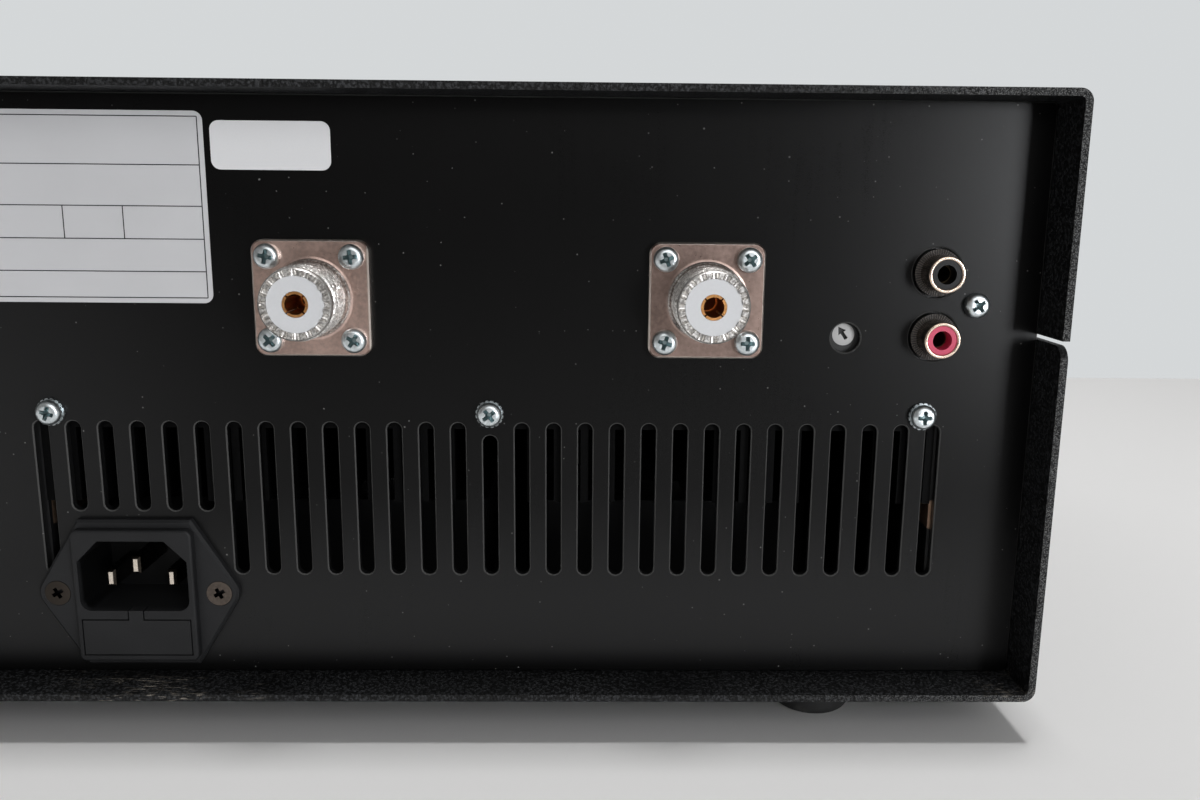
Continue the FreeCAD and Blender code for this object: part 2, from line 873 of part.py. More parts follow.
def phono_insert(z):
    """The coloured plastic core of one phono socket."""
    tip_y = rear_y + phono_reach - phono_insert_setback
    radius = phono_shell_radius - phono_shell_wall - seat
    core = rod(phono_x, z, radius, (rear_back_y - phono_block_depth, tip_y))
    return core.cut(rod(phono_x, z, phono_bore_radius, (tip_y - phono_bore_depth, tip_y + past)))


def phono_contacts():
    """Sprung sleeves deep in the cores, where a plug's pin goes."""
    tip_y = rear_y + phono_reach - phono_insert_setback
    y = (tip_y - phono_bore_depth, tip_y - phono_bore_depth / 3)
    radius = phono_bore_radius - seat
    return group([tube(phono_x, z, radius, radius - phono_contact_wall, y) for z in phono_zs])


def trimmer_body():
    body = block(span(trimmer_x, trimmer_body_size),
                 (rear_back_y - trimmer_body_depth, rear_back_y), span(rotor_z, trimmer_body_size))
    return body.cut(rod(trimmer_x, rotor_z, trimmer_rotor_radius + running_fit,
                        (rear_back_y - trimmer_rotor_depth, rear_y)))


def trimmer_rotor():
    """The adjuster, a little above the middle of its hole, with a slot that ends in an arrow."""
    x, z = trimmer_x, rotor_z
    y = (rear_back_y - trimmer_rotor_depth + loose_fit, rear_y - trimmer_rotor_setback)
    rotor = rod(x, z, trimmer_rotor_radius, y)
    cut_y = (y[1] - trimmer_slot, y[1] + past)
    r = trimmer_rotor_radius
    slot = block(span(x, trimmer_slot), cut_y, (z - 0.5 * r, z + 0.6 * r))
    arrow = outline([(x - 0.4 * r, z + 0.2 * r), (x + 0.4 * r, z + 0.2 * r), (x, z + 0.85 * r)],
                    cut_y)
    return turn(rotor.cut(slot.fuse(arrow)), trimmer_slot_angle, x, z)


# ---------------------------------------------------------------- mains inlet
def inlet_front_y():
    return rear_y + inlet_reach


def inlet_screw_xs():
    return span(inlet_x, inlet_screw_pitch)


def inlet_flange_points():
    """The flange's outline: straight top and bottom edges that taper to a round ear each side."""
    corner = (inlet_flange_half_width, inlet_flange_height / 2)
    ear_x = inlet_screw_pitch / 2
    across, up = corner[0] - ear_x, corner[1]
    towards_corner = math.atan2(up, across)
    half_wrap = towards_corner - math.acos(inlet_ear_radius / math.hypot(across, up))
    steps = 12
    angles = [half_wrap * (1 - 2 * i / steps) for i in range(steps + 1)]
    right = [corner] + [(ear_x + inlet_ear_radius * math.cos(a), inlet_ear_radius * math.sin(a))
                        for a in angles] + [(corner[0], -corner[1])]
    left = [(-x, z) for x, z in reversed(right)]
    return [(inlet_x + x, inlet_z + z) for x, z in right + left]


def mouth_low_z():
    return inlet_z + mouth_rise - mouth_height / 2


def mouth_points():
    """The plug opening: a rectangle with both upper corners cut off."""
    half, low, high = mouth_width / 2, mouth_rise - mouth_height / 2, mouth_rise + mouth_height / 2
    points = [(-half, low), (half, low), (half, high - mouth_chamfer),
              (half - mouth_chamfer, high), (mouth_chamfer - half, high),
              (-half, high - mouth_chamfer)]
    return [(inlet_x + x, inlet_z + z) for x, z in points]


def drawer_shape(slack):
    """Front plate, pull tab and tray of the fuse drawer, grown by a clearance for its channel."""
    front = inlet_front_y()
    back = front - drawer_plate
    z = inlet_z - drawer_drop
    plate = block(span(inlet_x, drawer_width + 2 * slack), (back, front),
                  span(z, drawer_height + 2 * slack))
    tab_low = z + drawer_height / 2
    tab = block(span(inlet_x, drawer_tab_width + 2 * slack), (back, front),
                (tab_low - bite, mouth_low_z() + slack))
    tray = block(span(inlet_x, tray_width + 2 * slack), (back - tray_depth - slack, back + bite),
                 span(z, tray_height + 2 * slack))
    return merge([plate, tab, tray])


def blade_places():
    """The x, z and tip y of line, neutral and earth. The earth blade reaches further out, so
    that it makes contact first."""
    z = inlet_z + mouth_rise
    tip_y = inlet_front_y() - blade_setback
    return [(inlet_x - blade_spacing, z - blade_line_drop, tip_y),
            (inlet_x + blade_spacing, z - blade_line_drop, tip_y),
            (inlet_x, z + blade_line_drop, tip_y + earth_blade_lead)]


def blades(slack):
    back = inlet_front_y() - inlet_length - blade_tab
    return [block(span(x, blade_thickness + 2 * slack), (back, tip_y),
                  span(z, blade_height + 2 * slack))
            for x, z, tip_y in blade_places()]


def inlet_mouth():
    """The plug opening, with rounded lower corners."""
    front = inlet_front_y()
    mouth = outline(mouth_points(), (front - mouth_depth, front + past))
    corners = [edge for edge in parallel_edges(mouth, 1)
               if edge.BoundBox.ZMax < mouth_low_z() + 1e-6]
    return mouth.makeFillet(mouth_corner, corners)


def inlet_housing():
    """Flanged body with a raised face, the plug's mouth and the fuse drawer's channel."""
    front = inlet_front_y()
    body = rounded(span(inlet_x, inlet_body_width), (front - inlet_length, front),
                   span(inlet_z, inlet_body_height), inlet_corner)
    body = body.makeFillet(inlet_edge, edges_on(body, front))
    face_y = rear_y + inlet_flange_thickness
    flange = outline(inlet_flange_points(), (rear_y, face_y))
    flange = flange.makeChamfer(inlet_edge, edges_on(flange, face_y))
    mouth = inlet_mouth()
    sinks = [countersunk_shape(x, face_y, inlet_flange_thickness + past, hole_clearance)
             for x in inlet_screw_xs()]
    channel = drawer_shape(loose_fit)
    return merge([body, flange]).cut(group([mouth, channel] + blades(seat))).cut(group(sinks))


def inlet_pins():
    """Three blades with bevelled tips."""
    tips = [tip_y for x, z, tip_y in blade_places()]
    return group([blade.makeChamfer(blade_bevel, edges_on(blade, tip_y))
                  for blade, tip_y in zip(blades(0.0), tips)])


def countersunk_shape(x, face_y, length, slack):
    """A countersunk head and shank along -Y at the inlet's screw line, grown by a clearance."""
    depth = countersink_radius - screw_radius
    head = Part.makeCone(screw_radius + slack, countersink_radius + slack, depth,
                         Vec(x, face_y - depth, inlet_z), Vec(0, 1, 0))
    return merge([head, rod(x, inlet_z, screw_radius + slack, (face_y - length, face_y - depth))])


def inlet_screws():
    face_y = rear_y + inlet_flange_thickness
    screws = []
    for x in inlet_screw_xs():
        arm = block(span(x, recess_width), (face_y - recess_depth, face_y + past),
                    span(inlet_z, 2 * inlet_recess_reach))
        cross = [arm, turn(arm, 90, x, inlet_z)]
        screw = countersunk_shape(x, face_y, socket_screw_length, 0.0)
        screws.append(turn(screw.cut(group(cross)), 30, x, inlet_z))
    return group(screws)


def fuse_places():
    """The y of each fuse's centre line in the tray: the spare in front, the live one behind."""
    front = inlet_front_y() - drawer_plate
    inset = fuse_radius + loose_fit + tray_wall
    return front - inset, front - tray_depth + inset


def fuse_z():
    return inlet_z - drawer_drop - tray_height / 2 + tray_wall + fuse_radius


def fuse_drawer():
    """The tray with two cross pockets that are open at the top."""
    drawer = drawer_shape(0.0)
    pockets = [block(span(inlet_x, fuse_length + 2 * loose_fit),
                     span(y, 2 * (fuse_radius + loose_fit)),
                     (fuse_z() - fuse_radius - seat, inlet_z)) for y in fuse_places()]
    return drawer.cut(group(pockets))


def fuses():
    """Glass fuses that lie across the tray, each with a metal cap at both ends."""
    shapes = []
    for y in fuse_places():
        low = inlet_x - fuse_length / 2
        centre = Vec(low, y, fuse_z())
        glass = Part.makeCylinder(fuse_glass_radius, fuse_length, centre, Vec(1, 0, 0))
        caps = [Part.makeCylinder(fuse_radius, fuse_cap_length, Vec(x, y, fuse_z()), Vec(1, 0, 0))
                for x in (low, low + fuse_length - fuse_cap_length)]
        shapes.append(merge([glass] + caps))
    return group(shapes)


# ---------------------------------------------------------------- heatsink and decks
def heatsink():
    """An extrusion with its base on top and its fins down, drilled for the grille screws."""
    x = span(grille_x, heatsink_width)
    y = (heatsink_front_y, rear_back_y)
    base = block(x, y, (heatsink_z, deck_z))
    pitch = (heatsink_width - fin_thickness) / (fin_count - 1)
    fins = [block((x[0] + i * pitch, x[0] + i * pitch + fin_thickness), y,
                  (heatsink_z - fin_height, heatsink_z + bite)) for i in range(fin_count)]
    holes = [rod(hole_x, grille_screw_z, screw_radius + hole_clearance,
                 (rear_back_y - heatsink_screw_depth, rear_back_y + past))
             for hole_x in grille_screw_xs]
    return merge([base] + fins).cut(group(holes))


def heatsink_brackets():
    """An angle at each side of the heatsink: a tall plate, with a foot that turns outwards."""
    fold_top = floor_z + panel_gap + sheet + loose_fit
    y_long = (heatsink_front_y, rear_back_y - loose_fit)
    y_short = (heatsink_front_y, rear_back_y - flange_depth - loose_fit)
    brackets = []
    for side in (-1, 1):
        inner = grille_x + side * heatsink_width / 2
        outer = inner + side * bracket_thickness
        plate_x = (min(inner, outer), max(inner, outer))
        toe = inner + side * bracket_foot
        upper = block(plate_x, y_long, (fold_top, deck_z - bracket_top_setback))
        lower = block(plate_x, y_short, (floor_z, fold_top))
        foot = block((min(inner, toe), max(inner, toe)), y_short,
                     (floor_z, floor_z + bracket_thickness))
        brackets.append(merge([upper, lower, foot]))
    return group(brackets)


def rf_board_y():
    return rf_board_back_y - rf_board_length, rf_board_back_y


def filter_board_y():
    return rf_board_back_y - filter_board_length, rf_board_back_y


def transistor_xs():
    middle = (transistor_count - 1) / 2
    return [rf_board_x + (i - middle) * transistor_pitch for i in range(transistor_count)]


def rf_board():
    """The amplifier board, with a window for each transistor that is bolted to the heatsink."""
    y = rf_board_y()
    board = block(span(rf_board_x, rf_board_width), y, (rf_board_z, rf_board_z + board_thickness))
    windows = [block(span(x, transistor_width + 2 * transistor_gap),
                     span(sum(y) / 2, transistor_length + 2 * transistor_gap),
                     through((rf_board_z, rf_board_z + board_thickness)))
               for x in transistor_xs()]
    return board.cut(group(windows))


def rf_transistors():
    """Flanged packages flat on the heatsink."""
    y = sum(rf_board_y()) / 2
    flange_z = (deck_z, deck_z + transistor_height / 3)
    shapes = []
    for x in transistor_xs():
        flange = block(span(x, transistor_width), span(y, transistor_length), flange_z)
        lid = block(span(x, transistor_lid), span(y, transistor_length - 2 * transistor_lid_inset),
                    (deck_z, deck_z + transistor_height))
        shapes.append(merge([flange, lid]))
    return group(shapes)


def rf_transformers():
    """Two-hole ferrite blocks, one before and one after the transistors."""
    middle = sum(rf_board_y()) / 2
    z = rf_board_z + board_thickness
    shapes = []
    for y in span(middle, 2 * transformer_offset):
        core = block(span(rf_board_x, transformer_length), span(y, transformer_width),
                     (z, z + transformer_height))
        holes = [Part.makeCylinder(transformer_tube_radius, transformer_length + 2 * past,
                                   Vec(rf_board_x - transformer_length / 2 - past, hole_y,
                                       z + transformer_height / 2), Vec(1, 0, 0))
                 for hole_y in span(y, transformer_width / 2)]
        shapes.append(core.cut(group(holes)))
    return group(shapes)


def filter_board():
    return block(span(rf_board_x, filter_board_width), filter_board_y(),
                 (filter_board_z, filter_board_z + board_thickness))


def filter_columns():
    middle = (toroid_columns - 1) / 2
    return [rf_board_x + (i - middle) * toroid_pitch for i in range(toroid_columns)]


def filter_toroids():
    """Two rows of flat ring cores along the middle of the filter board."""
    z = filter_board_z + board_thickness
    rings = []
    for x in filter_columns():
        for y in span(sum(filter_board_y()) / 2, toroid_pitch):
            ring = post(x, y, toroid_radius, (z, z + toroid_height))
            bore = post(x, y, toroid_bore_radius, through((z, z + toroid_height)))
            rings.append(ring.cut(bore))
    return group(rings)


def relays():
    """A relay at both ends of every filter section."""
    z = filter_board_z + board_thickness
    reach = toroid_pitch + 2 * toroid_radius + relay_width + 2 * relay_gap
    return group([block(span(x, relay_length), span(y, relay_width), (z, z + relay_height))
                  for x in filter_columns()
                  for y in span(sum(filter_board_y()) / 2, reach)])


def board_posts():
    """Round posts under both decks, behind the supply board and behind the control board."""
    shapes = []
    for x in span(rf_board_x, rf_board_width - 2 * post_inset):
        ys = [rf_board_y()[0] + post_inset, filter_board_y()[0] + post_inset,
              rf_board_back_y - post_inset]
        shapes += [post(x, y, post_radius, (deck_z, rf_board_z)) for y in ys]
        shapes += [post(x, y, post_radius, (rf_board_z + board_thickness, filter_board_z))
                   for y in ys[1:]]
    for y in (supply_front_y + post_inset, supply_front_y + supply_board_length - post_inset):
        for z in (supply_z + post_inset, supply_z + supply_board_height - post_inset):
            shapes.append(Part.makeCylinder(post_radius, supply_standoff, Vec(supply_x, y, z),
                                            Vec(1, 0, 0)))
    x_ends, z_ends = control_board_span()
    for x in (x_ends[0] + post_inset, x_ends[1] - post_inset):
        for z in (z_ends[0] + post_inset, z_ends[1] - post_inset):
            shapes.append(rod(x, z, post_radius, (front_back_y, control_board_y)))
    return group(shapes)


# ---------------------------------------------------------------- power supply
def supply_face_x():
    return supply_x - board_thickness


def supply_middle_z():
    return supply_z + supply_board_height / 2


def supply_board():
    """The board that stands along the high-X wall."""
    return block((supply_face_x(), supply_x),
                 (supply_front_y, supply_front_y + supply_board_length),
                 (supply_z, supply_z + supply_board_height))


def mains_transformer():
    """An E-core block with its winding through both windows."""
    x = (supply_face_x() - core_depth, supply_face_x())
    y_mid = supply_front_y + supply_board_length / 4
    z_mid = supply_middle_z()
    core = block(x, span(y_mid, core_width), span(z_mid, core_height))
    window_z = core_height / 2
    leg = core_width / 4
    windows = [block(through(x), span(y_mid + s * leg, leg), span(z_mid, window_z))
               for s in (-1, 1)]
    coil_x = (x[0] - coil_margin, x[1])
    coil = block(coil_x, span(y_mid, 3 * leg - 2 * loose_fit),
                 span(z_mid, window_z - 2 * loose_fit))
    core = core.cut(group(windows))
    hole = block((x[0], x[1]), span(y_mid, leg + 2 * loose_fit), span(z_mid, window_z))
    return group([core, coil.cut(hole)])


def bulk_capacitors():
    first = supply_front_y + supply_board_length / 2
    ys = [first + i * capacitor_pitch for i in range(capacitor_count)]
    return group([Part.makeCylinder(capacitor_radius, capacitor_length,
                                    Vec(supply_face_x(), y, supply_middle_z()), Vec(-1, 0, 0))
                  for y in ys])


def rectifier():
    """The bridge rectifier, standing off the board between the core and the board's front end."""
    y = span(supply_front_y + post_inset + bridge_width, bridge_thickness)
    return block((supply_face_x() - bridge_height, supply_face_x()), y,
                 span(supply_middle_z(), bridge_width))


# ---------------------------------------------------------------- fans
def fan_frames():
    """Square frames that lie on the floor, each with a hub on four spokes at the bottom."""
    z = (floor_z, fan_top_z)
    spoke_z = (floor_z, floor_z + fan_spoke)
    frames = []
    for x in fan_xs:
        frame = rounded(span(x, fan_size), span(fan_y, fan_size), z, fan_corner, axis=2)
        frame = frame.cut(post(x, fan_y, fan_bore_radius, through(z)))
        spoke = block(span(x, 2 * (fan_bore_radius + bite)), span(fan_y, fan_spoke), spoke_z)
        parts = [frame, spoke, spin(spoke, 90, x, fan_y),
                 post(x, fan_y, fan_hub_radius, spoke_z)]
        shaft_hole = post(x, fan_y, fan_shaft_radius + running_fit, through(z))
        frames.append(merge(parts).cut(shaft_hole))
    return group(frames)


def fan_rotor(x):
    """Hub cup, twisted blades and the shaft that turns in the frame's hub."""
    hub_z = (floor_z + fan_spoke + loose_fit, fan_top_z - fan_cup_drop)
    middle = sum(hub_z) / 2
    hub = post(x, fan_y, fan_cup_radius, hub_z)
    tip_radius = fan_bore_radius - fan_tip_gap
    reach = post(x, fan_y, tip_radius, span(middle, fan_blade_depth))
    blade = block((fan_cup_radius - fan_blade_root, tip_radius + past), span(0, 3 * fan_blade_depth),
                  span(0, fan_blade_thickness))
    blade.rotate(Vec(0, 0, 0), Vec(1, 0, 0), fan_blade_pitch)
    blade.translate(Vec(x, fan_y, middle))
    blade = blade.common(reach)
    vanes = [spin(blade, 360 * i / fan_blades, x, fan_y) for i in range(fan_blades)]
    shaft = post(x, fan_y, fan_shaft_radius, (floor_z + loose_fit, hub_z[0] + bite))
    return merge([hub, shaft] + vanes)


# ---------------------------------------------------------------- meters
def meter_front_y():
    return fascia_y - meter_reach


def lens_y():
    front = meter_front_y() + loose_fit
    return front, front + lens_thickness


def needle_y():
    front = lens_y()[1] + needle_gap
    return front, front + needle_hub_height


def dial_y():
    front = needle_y()[1] + needle_gap
    return front, front + dial_thickness


def needle_pivot_z():
    return meter_z - needle_pivot_drop


def meter_inside(x, y, slack):
    """The clear space inside a meter's case, less a clearance all round."""
    return rounded(span(x, meter_width - 2 * (meter_wall + slack)), y,
                   span(meter_z, meter_height - 2 * (meter_wall + slack)), meter_corner - meter_wall)


def meter_cases():
    """Open-fronted boxes with a rim behind the panel, a movement behind the dial and a pivot."""
    back_y = front_back_y + meter_depth
    cases = []
    for x in meter_xs:
        body = rounded(span(x, meter_width), (meter_front_y(), back_y),
                       span(meter_z, meter_height), meter_corner)
        rim = rounded(span(x, meter_width + 2 * meter_rim),
                      (front_back_y, front_back_y + meter_wall),
                      span(meter_z, meter_height + 2 * meter_rim), meter_corner)
        inside = meter_inside(x, (meter_front_y() - past, back_y - meter_wall), 0.0)
        case = merge([body, rim]).cut(inside)
        movement = rod(x, needle_pivot_z() + needle_hub_radius, 2 * needle_hub_radius,
                       (dial_y()[1], back_y - meter_wall))
        pivot = rod(x, needle_pivot_z(), needle_pivot_radius,
                    (needle_y()[0], back_y - meter_wall))
        cases.append(merge([case, movement, pivot]))
    return group(cases)


def meter_dials():
    """Cards with a hole for the needle's pivot."""
    radius = needle_pivot_radius + seat
    return group([meter_inside(x, dial_y(), seat).cut(rod(x, needle_pivot_z(), radius,
                                                          through(dial_y())))
                  for x in meter_xs])


def meter_lenses():
    return group([meter_inside(x, lens_y(), seat) for x in meter_xs])


def needle(x):
    """A pointer and its counterweight on a hub, lying at the low end of the scale."""
    y = needle_y()
    z = needle_pivot_z()
    thin_y = span(sum(y) / 2, needle_hub_height / 4)
    hub = rod(x, z, needle_hub_radius, y)
    pointer = block(span(x, needle_width), thin_y, (z, z + needle_length))
    tail = block(span(x, 2 * needle_width), thin_y, (z - needle_tail, z))
    bore = rod(x, z, needle_pivot_radius + running_fit, through(y))
    return turn(merge([hub, pointer, tail]).cut(bore), -needle_sweep / 2, x, z)


# ---------------------------------------------------------------- band selector
def band_switch():
    """The rotary switch body with its threaded bushing, and the nut that clamps it."""
    body = rod(knob_x, knob_z, switch_radius, (front_back_y, front_back_y + switch_depth))
    bushing = rod(knob_x, knob_z, bushing_radius, (fascia_y - bushing_reach, front_back_y + bite))
    bore = rod(knob_x, knob_z, shaft_radius + running_fit,
               (fascia_y - bushing_reach - past, front_back_y + switch_depth - sheet))
    nut_y = (fascia_y - bushing_nut_height, fascia_y)
    angles = [math.pi * i / 3 for i in range(6)]
    corners = [(knob_x + bushing_nut_radius * math.cos(a),
                knob_z + bushing_nut_radius * math.sin(a)) for a in angles]
    nut_bore = rod(knob_x, knob_z, bushing_radius + seat, through(nut_y))
    nut = outline(corners, nut_y).cut(nut_bore)
    return group([merge([body, bushing]).cut(bore), nut])


def knob_front_y():
    return fascia_y - knob_gap - knob_length


def band_shaft():
    return rod(knob_x, knob_z, shaft_radius,
               (knob_front_y() + knob_length - shaft_in_knob,
                front_back_y + switch_depth - sheet - loose_fit))


def band_knob():
    """A fluted knob with a skirt, a pointer groove and a bore for the shaft."""
    front = knob_front_y()
    back = front + knob_length
    skirt = back - knob_skirt_length
    profile = [(0, front), (knob_radius - knob_bevel, front), (knob_radius, front + knob_bevel),
               (knob_radius, skirt), (knob_skirt_radius - knob_bevel, skirt),
               (knob_skirt_radius, skirt + knob_bevel), (knob_skirt_radius, back), (0, back)]
    knob = turned(knob_x, knob_z, profile)
    flute = rod(knob_x + knob_radius, knob_z, knob_groove_radius, (front - past, skirt))
    flutes = [turn(flute, 360 * i / knob_grooves, knob_x, knob_z) for i in range(knob_grooves)]
    recess = rod(knob_x, knob_z, bushing_nut_radius + knob_nut_room,
                 (back - bushing_reach, back + past))
    bore = rod(knob_x, knob_z, shaft_radius + seat, (back - shaft_in_knob, back + past))
    pointer = block(span(knob_x, knob_pointer), (front - past, front + knob_pointer_depth),
                    (knob_z + knob_radius / 3, knob_z + knob_radius + past))
    knob = knob.cut(group(flutes)).cut(group([recess, bore, pointer]))
    return turn(knob, -knob_step * (knob_positions - 1) / 2, knob_x, knob_z)


# ---------------------------------------------------------------- rocker, buttons and lamps
def rocker_pivot_y():
    return fascia_y + rocker_depth / 4


def rocker_frame():
    """A bezel in front of the fascia and a box behind it, with a hole each side for the pin."""
    margin = rocker_frame_margin
    front = fascia_y - rocker_frame_reach
    bezel = rounded(span(rocker_x, rocker_width + 2 * margin), (front, fascia_y),
                    span(rocker_z, rocker_height + 2 * margin), rocker_frame_corner)
    box = block(span(rocker_x, rocker_width + margin), (fascia_y - bite, fascia_y + rocker_depth),
                span(rocker_z, rocker_height + margin))
    inside = block(span(rocker_x, rocker_width), (front - past, fascia_y + rocker_depth - margin),
                   span(rocker_z, rocker_height))
    pin_x = through(span(rocker_x, rocker_width + margin))
    pin = Part.makeCylinder(rocker_pin_radius + running_fit, pin_x[1] - pin_x[0],
                            Vec(pin_x[0], rocker_pivot_y(), rocker_z), Vec(1, 0, 0))
    return merge([bezel, box]).cut(group([inside, pin]))


def power_rocker():
    """A shallow V-shaped lever on a cross pin, lying with its lower end pressed in."""
    y = rocker_pivot_y()
    half = rocker_height / 2 - rocker_end_gap
    tip = y - rocker_front
    side = [(tip + rocker_dip, 0), (tip, half), (y + rocker_end_back, half),
            (y + rocker_back, half / 3), (y + rocker_back, -half / 3),
            (y + rocker_end_back, -half), (tip, -half)]
    width = rocker_width - 2 * loose_fit
    corners = [Vec(rocker_x - width / 2, py, rocker_z + pz) for py, pz in side]
    lever = Part.Face(Part.makePolygon(corners + corners[:1])).extrude(Vec(width, 0, 0))
    length = rocker_width + rocker_frame_margin - 2 * loose_fit
    pin = Part.makeCylinder(rocker_pin_radius, length,
                            Vec(rocker_x - length / 2, y, rocker_z), Vec(1, 0, 0))
    rocker = merge([lever, pin])
    rocker.rotate(Vec(rocker_x, y, rocker_z), Vec(1, 0, 0), rocker_throw / 2)
    return rocker


def push_button(x):
    """A square cap through the panel, a flange that keeps it in, and a stem behind."""
    cap_y = (fascia_y - button_reach, front_back_y + loose_fit + bite)
    flange_y = (front_back_y + loose_fit, front_back_y + loose_fit + button_flange)
    stem_end = control_board_y - tact_height - button_travel - loose_fit
    cap = rounded(span(x, button_size), cap_y, span(button_z, button_size), button_corner)
    cap = cap.makeFillet(0.5 * button_corner, edges_on(cap, cap_y[0]))
    flange = block(span(x, button_size + 2 * button_flange), flange_y,
                   span(button_z, button_size + 2 * button_flange))
    stem = rod(x, button_z, button_stem_radius, (flange_y[0], stem_end))
    return merge([cap, flange, stem])


def indicator_lamps():
    """Round lamps above the buttons, standing on the control board."""
    lamps = []
    for x in button_xs:
        bulb = rod(x, lamp_z, lamp_radius, (fascia_y - lamp_reach, control_board_y))
        rim = [edge for edge in bulb.Edges if edge.BoundBox.YMax < fascia_y]
        collar = rod(x, lamp_z, lamp_radius + lamp_collar,
                     (front_back_y, front_back_y + lamp_collar))
        lamps.append(merge([bulb.makeFillet(0.8 * lamp_reach, rim), collar]))
    return group(lamps)


def control_board_span():
    x = (button_xs[0] - control_board_margin, button_xs[-1] + control_board_margin)
    return x, span((button_z + lamp_z) / 2, control_board_height)


def control_board():
    """The board behind the buttons, with a small push switch in line with each stem."""
    x, z = control_board_span()
    board = block(x, (control_board_y, control_board_y + board_thickness), z)
    switch_y = (control_board_y - tact_height, control_board_y + bite)
    switches = [block(span(button_x, tact_size), switch_y, span(button_z, tact_size))
                for button_x in button_xs]
    return merge([board] + switches)


# ---------------------------------------------------------------- the pieces
pieces = {
    "top_cover": top_cover(),
    "bottom_cover": bottom_cover(),
    "rear_panel": rear_panel(),
    "front_panel": front_panel(),
    "front_fascia": front_fascia(),
    "side_rails": side_rails(),
    "feet": feet(),
    "foot_screws": foot_screws(),
    "cover_screws": cover_screws(),
    "socket_shells": socket_shells(),
    "socket_insulators": socket_insulators(),
    "socket_contacts": socket_contacts(),
    "panel_screws": panel_screws(),
    "phono_block": phono_block(),
    "phono_shells": phono_shells(),
    "phono_insert_black": phono_insert(phono_zs[0]),
    "phono_insert_red": phono_insert(phono_zs[1]),
    "phono_contacts": phono_contacts(),
    "trimmer_body": trimmer_body(),
    "trimmer_rotor": trimmer_rotor(),
    "inlet_housing": inlet_housing(),
    "inlet_pins": inlet_pins(),
    "inlet_screws": inlet_screws(),
    "fuse_drawer": fuse_drawer(),
    "fuses": fuses(),
    "grille_screws": grille_screws(),
    "lock_washers": lock_washers(),
    "rating_label": sticker(rating_label_from_high, rating_label_width,
                            rating_label_rise, rating_label_height),
    "blank_label": sticker(blank_label_from_high, blank_label_width,
                           blank_label_rise, blank_label_height),
    "heatsink": heatsink(),
    "heatsink_brackets": heatsink_brackets(),
    "rf_board": rf_board(),
    "rf_transistors": rf_transistors(),
    "rf_transformers": rf_transformers(),
    "filter_board": filter_board(),
    "filter_toroids": filter_toroids(),
    "relays": relays(),
    "board_posts": board_posts(),
    "supply_board": supply_board(),
    "mains_transformer": mains_transformer(),
    "bulk_capacitors": bulk_capacitors(),
    "rectifier": rectifier(),
    "fan_frames": fan_frames(),
    "fan_rotor_a": fan_rotor(fan_xs[0]),
    "fan_rotor_b": fan_rotor(fan_xs[1]),
    "meter_cases": meter_cases(),
    "meter_dials": meter_dials(),
    "meter_lenses": meter_lenses(),
    "power_needle": needle(meter_xs[0]),
    "swr_needle": needle(meter_xs[1]),
    "band_switch": band_switch(),
    "band_shaft": band_shaft(),
    "band_knob": band_knob(),
    "rocker_frame": rocker_frame(),
    "power_rocker": power_rocker(),
    "indicator_lamps": indicator_lamps(),
    "control_board": control_board(),
}
for number, x in enumerate(button_xs, start=1):
    pieces[f"button_{number}"] = push_button(x)

os.makedirs("parts", exist_ok=True)
for name, shape in pieces.items():
    shape.exportStep(f"parts/{name}.step")
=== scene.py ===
"""Finishes and fine parts of an HF linear amplifier, laid out as a Blender add-on.

The solids come from the packed CAD model and stay as they are. Every operator dresses one group
of them, adds the printed marks and windings that are too fine for the solids, or sets the stage.
Lengths are in metres. The connectors face +Y, the controls face -Y and +Z is up.
"""
import json
import math

import bmesh
import bpy
import numpy as np
from mathutils import Euler, Matrix, Vector


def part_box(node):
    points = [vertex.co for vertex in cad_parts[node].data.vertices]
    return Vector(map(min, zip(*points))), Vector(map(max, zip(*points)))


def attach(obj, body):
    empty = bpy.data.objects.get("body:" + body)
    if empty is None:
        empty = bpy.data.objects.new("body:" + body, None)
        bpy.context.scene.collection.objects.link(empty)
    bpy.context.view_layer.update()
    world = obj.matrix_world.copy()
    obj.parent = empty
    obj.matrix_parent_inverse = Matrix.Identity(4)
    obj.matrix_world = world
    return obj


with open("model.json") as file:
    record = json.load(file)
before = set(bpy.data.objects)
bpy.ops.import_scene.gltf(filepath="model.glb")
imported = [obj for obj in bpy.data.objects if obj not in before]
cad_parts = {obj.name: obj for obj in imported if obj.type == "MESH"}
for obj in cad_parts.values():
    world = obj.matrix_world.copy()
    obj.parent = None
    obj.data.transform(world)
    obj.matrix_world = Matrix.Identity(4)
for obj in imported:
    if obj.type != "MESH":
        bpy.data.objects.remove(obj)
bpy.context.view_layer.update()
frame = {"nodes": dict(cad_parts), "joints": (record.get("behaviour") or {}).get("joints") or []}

bl_info = {
    "name": "HF linear amplifier finishes",
    "version": (1, 0, 0),
    "blender": (4, 5, 0),
    "location": "3D View > Sidebar > Amplifier",
    "description": "Dresses the parts of a desk-top HF linear amplifier and lights them",
    "category": "Object",
}

MM = 0.001


def box_of(node):
    """The lowest and highest corner of a CAD node as plain tuples."""
    return [tuple(corner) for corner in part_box(node)]


def middle_of(node):
    """The middle of a CAD node's box."""
    low, high = box_of(node)
    return tuple((start + end) / 2 for start, end in zip(low, high))


COVER_LOW, COVER_HIGH = box_of("top_cover")
CASE_FLOOR_Z = box_of("bottom_cover")[0][2]
PANEL_FACE_Y = box_of("rear_panel")[1][1]
PANEL_FOOT_Z = box_of("rear_panel")[0][2]
FASCIA_Y = box_of("front_fascia")[0][1]
JOINTS = {joint["name"]: joint for joint in frame["joints"]}


def half_travel(joint):
    """Half of how far a joint turns, in degrees."""
    low, high = JOINTS[joint]["range_deg"]
    return (high - low) / 2


